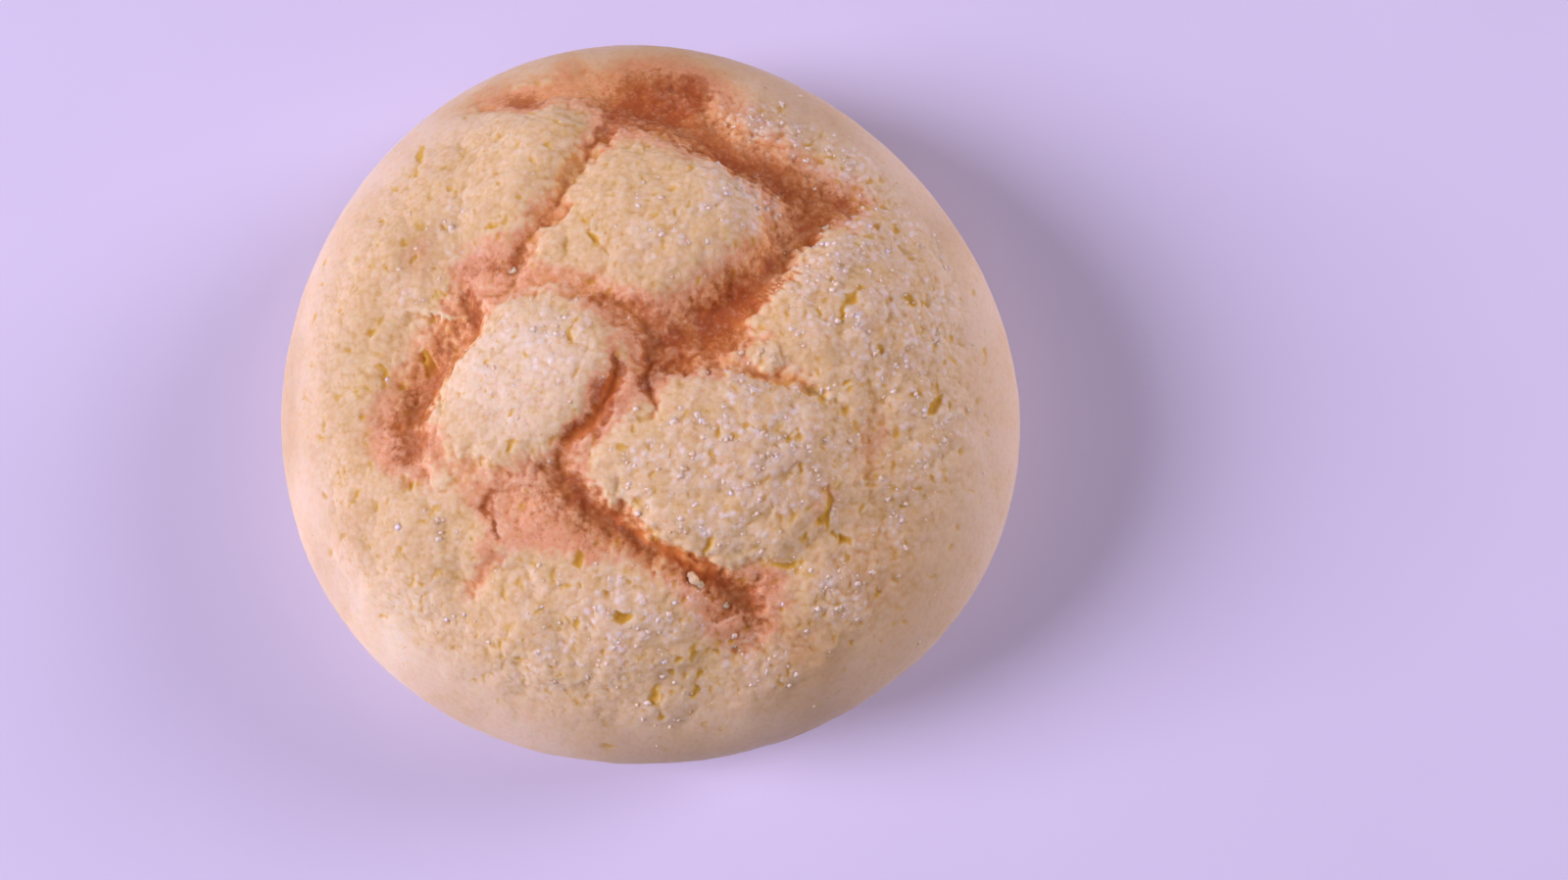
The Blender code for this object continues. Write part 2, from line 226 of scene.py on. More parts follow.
# Single larger pits: (x, y, half-length, half-width, turn in degrees, depth)
PITS = [
    (-43, 7, .8, .8, 20, 1.0), (-46.5, 4.4, .6, .5, 0, .8), (-37.5, 21, .8, .6, 10, .9), (-31.5, 23, .7, .5, 0, .8), (-36, 18.5, .7, .5, 40, .8),
    (-47.8, 10.8, .6, .4, 0, .7), (-38.5, -8.5, .9, .9, 0, 1.0), (-38, -6, .6, .5, 0, .8), (-34.5, -18, .8, .7, 60, 1.0), (-43, -18.5, 1.0, .6, 45, .8),
    (-39.5, -37, .9, .5, 20, .7), (-44, -6.5, .6, .4, 80, .7), (-50, -8, .5, .3, 90, .5), (-45.5, -24.7, .7, .4, 45, .6), (-53.5, -2.6, .8, .3, -50, .6),
    (.5, 37, .5, .5, 0, .9), (-3, 36.5, .5, .4, 0, .7), (40, 25, .7, .6, 0, .9), (44, 12.5, .7, .6, 0, 1.0), (31.5, -1.5, .8, .6, 30, 1.1),
    (37.5, -1.5, .6, .5, 0, .9), (36.5, -33, .9, .6, 20, 1.0), (33, -40.5, .8, .5, 70, .8), (23.5, -10, .8, .4, 80, 1.1), (12, -10, .9, .5, 80, 1.1),
    (16, -9.3, .8, .4, 90, .9), (24, -15, .8, .5, 80, 1.0), (22.6, -10.6, .6, .5, 0, 1.1), (20.5, -12, .8, .3, 0, .7), (15, -41.5, .8, .6, 40, 1.0),
    (17.4, -39.8, .6, .6, 0, 1.0), (2, 26.5, .5, .4, 0, .7), (5.3, 23.3, .8, .4, 80, .8), (-1.8, 27.5, .6, .5, 30, .8), (9, 13.5, .7, .5, 30, .8),
    (18.3, 24.6, .9, .4, 10, .8), (30, 38.5, .8, .6, 0, .9), (36, 34, .9, .4, 60, .8), (39.7, 25.5, .6, .5, 0, .8), (28.7, 14, .8, .6, 60, 1.0),
    (27, 8.6, .9, .5, 70, 1.0), (36.5, 4, .8, .6, 20, 1.0), (41.5, -3, .7, .5, 0, .9), (50, -10.5, .8, .5, 80, .8), (43, -17, .7, .4, 20, .7),
    (30, -24.5, .6, .6, 0, .9), (31.5, -28, .8, .5, 80, 1.0), (34, -20.5, .9, .5, 80, .9), (40.5, -20, .6, .5, 0, .7), (46, -30, .7, .3, 30, .6),
    (-14, -36, .6, .4, 60, .7), (-17, -32, .7, .4, 20, .7), (-20, -41, .8, .4, 70, .7), (-12, -44, .6, .4, 0, .6), (-25, -46.5, .8, .4, 10, .6),
    (-4.5, -42, .7, .4, 80, .8), (5.5, -45, .7, .6, 0, .9), (6.8, -43.2, .6, .5, 0, .9), (12.5, -43, .7, .5, 0, .9), (-4.5, -56.5, 1.0, .4, 0, .6),
    (-52, 20, .5, .5, 0, .6), (-40.5, 31, .6, .4, 60, .6), (-31, 30, .6, .5, 0, .7), (-29.6, 36, .8, .4, 60, .7), (-24, 38, .5, .4, 0, .6),
    (-17.5, 33, .6, .5, 0, .8), (-15.3, 36, .7, .5, 50, .8), (-19, 26.4, .5, .4, 0, .7), (-33.5, 8.6, .8, .5, 50, .9), (-30.4, -22, .6, .5, 0, .7),
]

# The plates rise as pillows between the splits, and some lean: (x, y, half-length, half-width, turn, rise, lean in mm per mm along x and y)
PILLOWS = [(3.5, 23.5, 17.5, 13.5, -12, 2.5, .05, -.01), (-15, -1.5, 17, 13.5, 25, 2.1, .16, -.02), (11.5, -14, 21, 15.5, -8, 2.7, .03, .02),
           (31, 11, 13, 17, 0, 1.5, 0, 0), (-19, 31.5, 9, 14.5, -22, 1.8, .05, 0), (-8, -39, 18, 8.5, -8, 1.2, 0, 0), (-47, 16, 10, 18, 0, 0.9, 0, 0),
           (-38, -26, 13, 9, -50, 1.2, 0, 0), (30, -34, 9, 7, 40, 0.9, 0, 0), (-14.3, 19.5, 3.4, 2.8, 0, 0.9, 0, 0), (-1.0, -4.6, 2.6, 4.2, -20, 0.5, 0, 0),
           (19.3, 1.9, 2.7, 1.8, -25, 1.2, 0, 0)]

# Broad dips that the splits run in: (x, y, half-length, half-width, turn, depth)
DIPS = [(-38, 2, 18, 11, 80, 3.0), (16, -40, 11, 8, 50, 2.3), (25, 27, 10, 8, -45, 1.2), (2, 46, 17, 7, -5, 1.3), (10, 8, 13, 6.5, 45, 0.9),
        (-20, -21, 13, 6, -5, 0.6), (-4, -22, 12, 6, -35, 0.8), (36, -14, 7, 12, 0, 0.8), (-24, 14, 8, 6, 0, 0.8), (24, 44, 14, 7, -35, 0.8)]

# Toasted areas: (x, y, half-length, half-width, turn, strength). The faint entries at (-35, 19.5) on the left ring and
# at (-4, 57) on the far rim are painted shade, not toasting.
TOAST = [
    (0.5, 46.5, 6.5, 5, 25, 1.12), (5.5, 49, 4.6, 3.6, 20, 1.1), (-4, 44.5, 4, 3.5, 10, .95), (0, 48, 11, 7.5, 8, .6), (-21, 47.5, 5.5, 2.8, 4, .66), (-28, 49.5, 8, 4, 35, .26), (-35, 19.5, 4, 6, 0, .24), (-27, 16, 3.5, 3.5, 0, .5),
    (-14, 53, 2.5, 6, 10, .32), (-11, 47.5, 4, 3, 0, .35), (8, 41, 8, 5, -20, .52), (13, 37.5, 5.5, 3, -25, .74), (20, 34.5, 7, 5, -30, .74),
    (28, 28.5, 8, 7, 0, .48), (31, 29.5, 1.6, 1.6, 0, .95), (26.5, 24, 2.2, 3.0, 0, .72), (21, 18, 2.0, 3, -30, .75), (15.5, 12.5, 3, 3.4, 45, .92),
    (10.5, 8, 3.6, 2.8, 30, 1.0), (14, 10, 6, 5, 40, .62), (4.8, 4, 2.8, 2.0, 10, .84), (12, 4, 5, 3, 20, .6), (1.4, -2.5, 1.4, 1.9, 10, .95),
    (-1, -4.5, 2.8, 4.5, -20, .42), (-.3, 6, 2.4, 3.5, 0, .5), (-3.4, 5, 1.6, 3, 0, .3), (-4.6, -5, 1.6, 3.4, 20, .9), (-8.4, -10.6, 2.4, 1.4, 25, .85),
    (7.8, -32.8, 3.4, 2.2, -25, .55), (-20.6, 16.5, 7, 4.6, -12, .46), (-22.5, 17.5, 3, 3, 0, .48), (-18.8, 17, 1.4, 3, -20, .66), (-26.8, 10, 1.6, 3.4, 0, .5), (-10, 12, 7, 3, -12, .3),
    (-3, 9.5, 5, 3, -25, .42), (-5.6, 11, 1.4, 1.2, 0, .65), (0, 9, 1.6, 1.6, 0, .62), (2, 7, 3, 3, 0, .5),
    (-27.4, 11.5, 1.4, 2.4, 8, .7), (-26.4, 7.8, 1.8, 1.8, 0, .66), (-36.5, -8.5, 6.5, 7, 0, .5), (-33.8, 0, 1.8, 2.4, -10, .66),
    (-34.5, -12, 2.0, 2.4, 0, .66), (-38, -9, 2, 2, 0, .56), (-34, -4, 3.5, 7, -10, .5), (-33, 4, 3, 3, 0, .5),
    (-18, -20, 10, 5.5, -8, .32), (-14, -24.5, 7, 4, 0, .42), (-22.5, -28, 3, 3, 0, .34), (-21.4, -21.5, .9, 4, 12, .5), (-8, -20.5, 3, 2, -38, .82),
    (-3, -24, 4, 1.6, -34, .88), (-9.5, -17, 2.2, 3, 0, .62), (-8, -27.5, 3, 2, 0, .45), (12.5, -31.8, 3, 1.5, -22, 1.05), (17.6, -35.8, 1.6, 2, 20, .8),
    (14, -37, 6.5, 5.5, 0, .46), (20, -33, 4, 4, 0, .52), (24, -41, 7, 6, 0, .2), (36, -10.5, 5.5, 9, 0, .26), (22, -.5, 7, 2.4, -10, .24), (16, 3.5, 4, 4, 0, .45), (28, -20, 2.4, 3.4, 0, .3),
    (-4, 57, 15, 6, 0, .1), (-48, 27, 9, 6, 40, .12), (-42, -10, 5, 6, 0, .14), (3, -42, 6, 6, 0, .14), (36, -30, 17, 17, 0, .2), (8, -54, 18, 7, 0, .12),
]

# Pale lumps in the toasted beds: (x, y, half-length, half-width, turn, how much of the toasting they lose)
COOL = [(19.3, 1.9, 2.8, 1.9, -25, .85), (-14.3, 19.5, 3.4, 2.8, 0, .6), (-9.8, -13.5, 2.2, 2.6, 0, .35), (14, -27.5, 2.4, 1.6, -20, .5)]

# Painted shade and painted light: areas painted a shade darker than the rest where the lamps leave them in shade, and
# painted lighter where the last is below 0: (x, y, half-length, half-width, turn, how much)
PAINTED_SHADE_AND_LIGHT_AREAS = [(0, 57, 24, 8, 0, 1.4), (24, 48, 15, 9, -35, 1.0), (50, 29, 7, 10, -30, .9), (30, 30, 12, 9, -40, .75), (34, 18, 12, 10, 0, .55), (26.5, 13.5, 5, 7, 0, .6),
       (15, 27, 6, 5, 0, .4), (40, 2, 8, 8, 0, .7), (47, -6, 8, 12, 0, .35), (41, -22, 8, 9, 0, .9), (24, -17, 6, 9, 0, .8), (40, -32, 15, 15, 0, .65),
       (25, -45, 11, 11, -30, 1.4), (0, -58, 15, 6, 0, 1.0), (8, -57, 20, 6, 0, .4), (-56, -2, 7, 26, 0, .5), (-59, -2, 5, 22, 0, 1.4), (-35, 20, 5, 6, 0, 1.2),
       (-31, 33, 9, 9, 0, .3), (-28, 50, 10, 6, 40, .9), (-43, -23, 6, 6, 0, 1.0), (-51, -30, 5, 9, 30, .9), (-30, -51, 9, 4, -30, .8),
       (-19, -2, 12, 11, 0, -.65), (-38, -38, 9, 7, 0, -.9), (-20, 16.5, 5, 4, 0, -.8), (-17, -21.5, 6, 4, 0, -.8), (-20, 35, 5, 5, 0, -.5),
       (-46, -1, 4, 7, 0, -.5), (-26, -15, 5, 4, 0, -.9), (14, -25, 6, 4, -20, -.4), (-22, -39, 7, 6, 0, -.35)]

# Sugar: (x, y, half-length, half-width, turn, how thick it lies)
SUGAR = [
    (15, 28, 7.5, 6.5, 30, 1.0), (4, 21, 11, 8, 0, .45), (30, 14, 10, 10, 0, .95), (40, 8, 11, 13, 0, .9), (20, 43, 8, 6, -30, .9), (33, 37, 11, 7, -40, .65),
    (37, 22, 9, 9, 0, .8), (19, -13, 13, 12, 0, .95), (4, -14, 8, 8, 0, .75), (11, -22, 10, 6, 0, .6), (28, -12, 6, 8, 0, .8), (24, -5, 8, 4, 0, .7),
    (-11, 3, 5.5, 8, 10, .85), (-19, 6, 8, 4, 20, .4), (-19, -4, 9, 8, 0, .3), (45, -8, 8, 12, 0, .55), (38, -22, 9, 9, 0, .45),
    (30, -33, 5.5, 4.5, 0, 1.0), (18.5, -44.5, 5.5, 3.6, 10, .95), (10, -52, 12, 6, 0, .3), (-2, -37, 13, 7, 0, .7), (-10, -44, 12, 5, 0, .5),
    (3, -42, 6, 4, 0, .55), (-15, -33, 8, 5, 0, .4), (25, -40, 8, 6, 0, .2), (-31, 23, 4, 6, 0, .4), (-36, 12, 5, 6, 0, .35), (-20, 34, 8, 8, 0, .2),
    (-35, -4, 5, 8, 0, .2), (-17, -19, 9, 5, 0, .22), (8, 40, 8, 3, 0, .25), (0, 49, 9, 4, 0, .12), (18, 12, 6, 6, 0, .16), (-33, -22, 8, 8, 0, .25),
    (50, 20, 7, 14, 20, .35), (43, -33, 8, 8, 0, .2), (-24, -38, 8, 6, 0, .25),
]


def smooth_run(stations, spacing=0.25):
    """A Catmull-Rom curve through the stations, every column alike, with points that far apart in mm."""
    s = np.array(stations, float)
    s = np.concatenate([s[:1], s, s[-1:]])
    made = []
    for a, b, c, d in zip(s, s[1:], s[2:], s[3:]):
        count = max(2, int(np.hypot(*(c - b)[:2]) / spacing))
        t = (np.arange(count) / count)[:, None]
        made.append(0.5 * (2 * b + (c - a) * t + (2 * a - 5 * b + 4 * c - d) * t**2 + (3 * b - a - 3 * c + d) * t**3))
    made.append(s[-1:])
    return np.concatenate(made)


def along(run, x, y, reach):
    """For the points within reach of the run: their indices, distance, side (positive on the left) and nearest station."""
    inside = np.flatnonzero((x > run[:, 0].min() - reach) & (x < run[:, 0].max() + reach)
                            & (y > run[:, 1].min() - reach) & (y < run[:, 1].max() + reach))
    if not len(inside):
        return inside, np.zeros(0), np.zeros(0), np.zeros(0, int)
    px, py = x[inside], y[inside]
    near = np.zeros(len(inside), int)
    for lo in range(0, len(inside), 4096):
        d = (px[lo:lo + 4096, None] - run[None, :, 0]) ** 2 + (py[lo:lo + 4096, None] - run[None, :, 1]) ** 2
        near[lo:lo + 4096] = d.argmin(1)
    heading = np.gradient(run[:, :2], axis=0)[near]
    dx, dy = px - run[near, 0], py - run[near, 1]
    return inside, np.hypot(dx, dy), heading[:, 0] * dy - heading[:, 1] * dx, near


def blob(x, y, spec):
    """Squared distance from the middle of an ellipse, 1 on its edge."""
    px, py, half_length, half_width, turn = spec[:5]
    c, s = math.cos(math.radians(turn)), math.sin(math.radians(turn))
    return (((x - px) * c + (y - py) * s) / half_length) ** 2 + (((y - py) * c - (x - px) * s) / half_width) ** 2


def lump(points, size, seed):
    """Rounded lumps with creases between them, about -0.4 to 0.5."""
    near, _ = cells(points, size, seed)
    return 0.5 - near * near * 1.15


def crust_fields(points):
    """Everything that the crust has at these points of the plain bun: height over it in mm, toasting, open crumb and sugar."""
    n = len(points)
    x, y, z = points.T
    r = np.hypot(x, y)
    upper = step(-2, 6, z - RIM_HEIGHT)          # 0 below the rim, 1 on the dome
    inner = 1 - step(49, 58, r)                  # 1 on the broken top, 0 on the smooth rim

    # ragged lips: the place that a split is looked up at is shaken, and lumps stand out over its edge
    wx = x + 1.0 * noise(points, 6, 1) + 0.5 * noise(points, 2.6, 2) + 0.35 * noise(points, 1.2, 3)
    wy = y + 1.0 * noise(points, 6, 4) + 0.5 * noise(points, 2.6, 5) + 0.35 * noise(points, 1.2, 6)
    shaken = points + np.stack([noise(points, 3, 7), noise(points, 3, 8), noise(points, 3, 9)], 1) * 0.7
    lumps3, lumps2, lumps1 = lump(shaken, 3.8, 61), lump(shaken, 1.9, 62), lump(shaken, 1.0, 63)
    ragged = 0.8 * lumps3 + 0.75 * lumps2 + 0.4 * lumps1

    depth4 = np.zeros(n)
    toast3 = np.zeros(n)
    painted_glow_bed = np.zeros(n)
    lip = np.zeros(n)
    cliff = np.zeros(n)
    for name, stations in SPLITS.items():
        run = smooth_run(stations)
        inside, away, side, near = along(run, wx, wy, 14)
        if not len(inside):
            continue
        width = np.where(side > 0, run[near, 2], run[near, 3])
        deep, toasting = run[near, 4], run[near, 5]
        soft = np.clip((width - 2) / 3, 0, 1)
        crisp_u = np.maximum(0, away + ragged[inside] * (0.6 + 0.4 * soft)) / (width * 1.08)
        wide_u = away / (width * 1.55 + 2.0)
        crisp = np.maximum(0, 1 - crisp_u**2) ** (1.35 + 0.35 * soft)
        wide = np.maximum(0, 1 - wide_u**2) ** 2
        depth4[inside] += (deep * ((0.62 - 0.17 * soft) * crisp + (0.48 + 0.17 * soft) * wide)) ** 4
        toast_u = np.maximum(0, away + 0.8 * ragged[inside]) / (width * 1.05 + 0.4)
        toast3[inside] += (toasting * np.exp(-0.8 * toast_u**2)) ** 3
        # painted glow: how much the bottom of a narrow, deep split is painted light orange
        painted_glow_bed[inside] = np.maximum(painted_glow_bed[inside], crisp * np.clip(deep / 2.8, 0, 1) * (1 - 0.75 * soft) * PAINTED_GLOW_SHARES.get(name, 0.35))
        lip[inside] = np.maximum(lip[inside], 4 * crisp * (1 - crisp) * np.clip(deep / 1.5, 0, 1))
        if name in CLIFFS:
            first, last = CLIFFS[name]
            part = near / len(run)
            stands = step(first - .06, first + .06, part) * (1 - step(last - .06, last + .06, part)) * (side > 0) * (1 - step(5, 9, away))
            edge_u = np.maximum(0, away + 0.9 * ragged[inside]) / (width + 0.2)
            cliff[inside] = np.maximum(cliff[inside], stands * step(0.7, 1.05, edge_u))
            lip[inside] = np.maximum(lip[inside], stands * 1.5 * np.exp(-((edge_u - 1.0) / 0.35) ** 2))
    depth = depth4**0.25

    tx = x + 1.3 * noise(points, 7, 11) + 0.8 * noise(points, 2.6, 12)
    ty = y + 1.3 * noise(points, 7, 13) + 0.8 * noise(points, 2.6, 14)
    for spec in TOAST:
        toast3 += (spec[5] * np.exp(-0.85 * blob(tx, ty, spec))) ** 3
    toast = np.minimum(1, 1.13 * toast3 ** (1 / 3.0))
    toast *= 1 - 0.8 * cliff
    for spec in COOL:
        toast *= 1 - spec[5] * np.exp(-blob(tx, ty, spec) ** 2)

    rise = np.zeros(n)
    for spec in PILLOWS:
        lean = spec[6] * (x - spec[0]) + spec[7] * (y - spec[1])
        rise += (spec[5] + lean) * np.maximum(0, 1 - blob(wx, wy, spec)) ** 0.9
    for spec in DIPS:
        rise -= spec[5] * np.exp(-1.2 * blob(x, y, spec))

    # painted shade, and painted light where the amount is below 0
    painted_shade_and_light = np.zeros(n)
    for spec in PAINTED_SHADE_AND_LIGHT_AREAS:
        value = spec[5] * np.exp(-blob(tx, ty, spec))
        painted_shade_and_light = np.where(np.abs(value) > np.abs(painted_shade_and_light), value, painted_shade_and_light)

    # open crumb: signed distance in mm, positive inside a crack or a pit
    crumb = np.full(n, -3.0)
    hollow = np.zeros(n)
    jag = 0.42 * noise(points, 1.25, 21) + 0.2 * noise(points, 0.6, 22)
    breaks = noise(points, 2.4, 27)
    cx, cy = x + 0.5 * noise(points, 1.8, 23) + 0.25 * noise(points, 0.8, 24), y + 0.5 * noise(points, 1.8, 25) + 0.25 * noise(points, 0.8, 26)
    for stations in CRACKS:
        run = smooth_run([(a, b, w, w, d, 0) for a, b, w, d in stations])
        inside, away, side, near = along(run, cx, cy, 4)
        if not len(inside):
            continue
        d = run[near, 2] * (0.6 + 1.3 * breaks[inside] + 0.6 * jag[inside]) - away
        crumb[inside] = np.maximum(crumb[inside], d)
        hollow[inside] = np.maximum(hollow[inside], 0.42 * run[near, 4] * step(-0.3, 0.7, d))
    rng = np.random.default_rng(41)
    specs = list(PITS)
    while len(specs) < 760:
        a, rr = rng.uniform(0, 2 * math.pi), 56 * math.sqrt(rng.uniform(0, 1))
        px, py = rr * math.cos(a), rr * math.sin(a)
        here = 0.55
        if px < -38: here = 0.5
        if math.hypot(px + 18, py) < 12: here = 0.28
        if px > 22 or py < -28: here = 1.0
        if rr > 50: here *= 0.35
        if rng.uniform() > here:
            continue
        size = 0.2 + 0.26 * rng.uniform() ** 1.8
        turn = rng.normal(90, 38)
        specs.append((px, py, size * rng.uniform(1.0, 2.6), size, turn, rng.uniform(0.4, 0.85)))
    for px, py, half_length, half_width, turn, deep in specs:
        reach = half_length * 1.8 + 0.5
        inside = np.flatnonzero((np.abs(cx - px) < reach) & (np.abs(cy - py) < reach) & (z > RIM_HEIGHT))
        if not len(inside):
            continue
        half_width = 0.85 * half_width
        q = np.sqrt(blob(cx[inside], cy[inside], (px, py, half_length, half_width, turn)))
        d = (1 + 0.55 * jag[inside] - q) * half_width
        crumb[inside] = np.maximum(crumb[inside], d)
        hollow[inside] = np.maximum(hollow[inside], 0.36 * deep * step(-0.25, 0.45, d))
    closed = 1 - step(0.25, 0.8, toast)          # the toasted beds are grainy and have fewer open pits
    hollow *= 0.45 + 0.55 * closed
    crumb = np.where(crumb > 0, crumb * (0.45 + 0.55 * closed), crumb)

    # sugar: how thick it lies
    frost = np.zeros(n)
    for spec in SUGAR:
        frost = np.maximum(frost, spec[5] * np.exp(-0.9 * blob(tx, ty, spec) ** 1.3))
    frost *= 1 - 0.75 * step(0.3, 0.8, toast)
    frost *= upper * (1 - step(53, 58, r))

    # lumps and grain
    lumpy = upper * (0.22 + 0.78 * inner)
    ring = step(24, 32, r) * inner
    rough = 0.55 + 0.3 * np.clip(frost, 0, 1) - 0.2 * step(0.3, 0.8, toast) + 0.4 * lip
    lumps = (0.6 * noise(points, 12, 32) * ring + 0.45 * noise(points, 6.5, 33) * (0.45 + 0.55 * ring)) * lumpy
    lumps += (0.62 * lumps3 + 0.36 * lumps2 + 0.20 * lumps1 + 0.04 * noise(points, 0.6, 36)) * rough * lumpy
    melt = frost * step(-0.1, 0.45, lump(points, 1.9, 64) + 0.55 * noise(points, 4.5, 65)) * lumpy
    lumps += 0.15 * melt
    under = (1 - upper) * (0.35 * noise(points, 9, 38) + 0.12 * noise(points, 3, 39))

    fade = step(0, 5.5, MEAN_RADIUS - r - 0.5) * upper
    height = (rise - depth) * fade + lumps - hollow * upper + under
    rim = step(44, 57, r)
    pale = np.maximum(rim, 0.9 * np.exp(-blob(tx, ty, (-19, -2, 12, 11, 0)) ** 1.5))
    pale = np.maximum(pale, 0.75 * np.exp(-blob(tx, ty, (-38, -37, 10, 8, 0)) ** 1.5))
    return {"height": height, "toast": toast * upper, "crumb": crumb, "frost": frost, "painted_glow_bed": painted_glow_bed, "pale": pale, "melt": melt, "painted_shade_and_light": painted_shade_and_light, "rim": rim, "deep": depth / 3}


# ---------------------------------------------------------------- meshes made of rings
def strip(start_a, count_a, start_b, count_b, angles_a, angles_b):
    """Triangles between two closed rings of vertices, walked in step by the middles of their edges."""
    mid_a = np.append(angles_a[1:], angles_a[0] + 2 * math.pi) / 2 + angles_a / 2
    mid_b = np.append(angles_b[1:], angles_b[0] + 2 * math.pi) / 2 + angles_b / 2
    ia, ib = np.arange(count_a), np.arange(count_b)
    at_b = np.searchsorted(mid_b, mid_a, side="left") % count_b
    at_a = np.searchsorted(mid_a, mid_b, side="right") % count_a
    first = np.stack([start_a + ia, start_b + at_b, start_a + (ia + 1) % count_a], 1)
    second = np.stack([start_b + ib, start_b + (ib + 1) % count_b, start_a + at_a], 1)
    return np.concatenate([first, second])


class Rings:
    """Collects rings from one pole to the other and joins them to one closed mesh."""

    def __init__(self):
        self.counts, self.angles, self.tags = [], [], []

    def add(self, count, tag):
        k = len(self.counts)
        self.counts.append(count)
        self.angles.append(2 * math.pi * (np.arange(count) + 0.5 * (k % 2)) / count)
        self.tags.append(tag)

    def faces(self):
        """Vertex 0 is the first pole and the last vertex the second."""
        starts = 1 + np.concatenate([[0], np.cumsum(self.counts)])
        made = []
        n = self.counts[0]
        i = np.arange(n)
        made.append(np.stack([np.zeros(n, int), 1 + i, 1 + (i + 1) % n], 1))
        for k in range(len(self.counts) - 1):
            made.append(strip(starts[k], self.counts[k], starts[k + 1], self.counts[k + 1], self.angles[k], self.angles[k + 1]))
        n, last = self.counts[-1], starts[-1]
        i = np.arange(n)
        made.append(np.stack([starts[-2] + i, np.full(n, last), starts[-2] + (i + 1) % n], 1))
        return np.concatenate(made)


def make_object(name, vertices, faces, smooth=True):
    mesh = bpy.data.meshes.new(name)
    mesh.vertices.add(len(vertices))
    mesh.vertices.foreach_set("co", np.ascontiguousarray((vertices - CENTRE) * MM, np.float32).ravel())
    mesh.loops.add(faces.size)
    mesh.loops.foreach_set("vertex_index", np.ascontiguousarray(faces, np.int32).ravel())
    mesh.polygons.add(len(faces))
    mesh.polygons.foreach_set("loop_start", np.arange(0, faces.size, 3, dtype=np.int32))
    mesh.update(calc_edges=True)
    if smooth:
        mesh.shade_smooth()
    else:
        mesh.shade_flat()
    mesh.validate()
    made = bpy.data.objects.new(name, mesh)
    bpy.context.scene.collection.objects.link(made)
    return made


def set_attribute(obj, name, values):
    attribute = obj.data.attributes.new(name, "FLOAT", "POINT")
    attribute.data.foreach_set("value", np.ascontiguousarray(values, np.float32))


def set_polar_map(obj, faces, place):
    """The map that a bake uses: place gives each vertex its spot in the unit square."""
    layer = obj.data.uv_layers.new(name="OFBake")
    layer.data.foreach_set("uv", np.ascontiguousarray(place[faces.ravel()], np.float32).ravel())


# ---------------------------------------------------------------- the cookie crust
def hollows(faces, height, rounds):
    """How far each vertex lies below the average of its surroundings, in mm. More rounds look farther."""
    a = np.concatenate([faces[:, 0], faces[:, 1], faces[:, 2]])
    b = np.concatenate([faces[:, 1], faces[:, 2], faces[:, 0]])
    count = np.bincount(a, minlength=len(height))
    smooth = height.copy()
    for _ in range(rounds):
        smooth = 0.5 * smooth + 0.5 * np.bincount(a, smooth[b], len(height)) / count
    return smooth - height


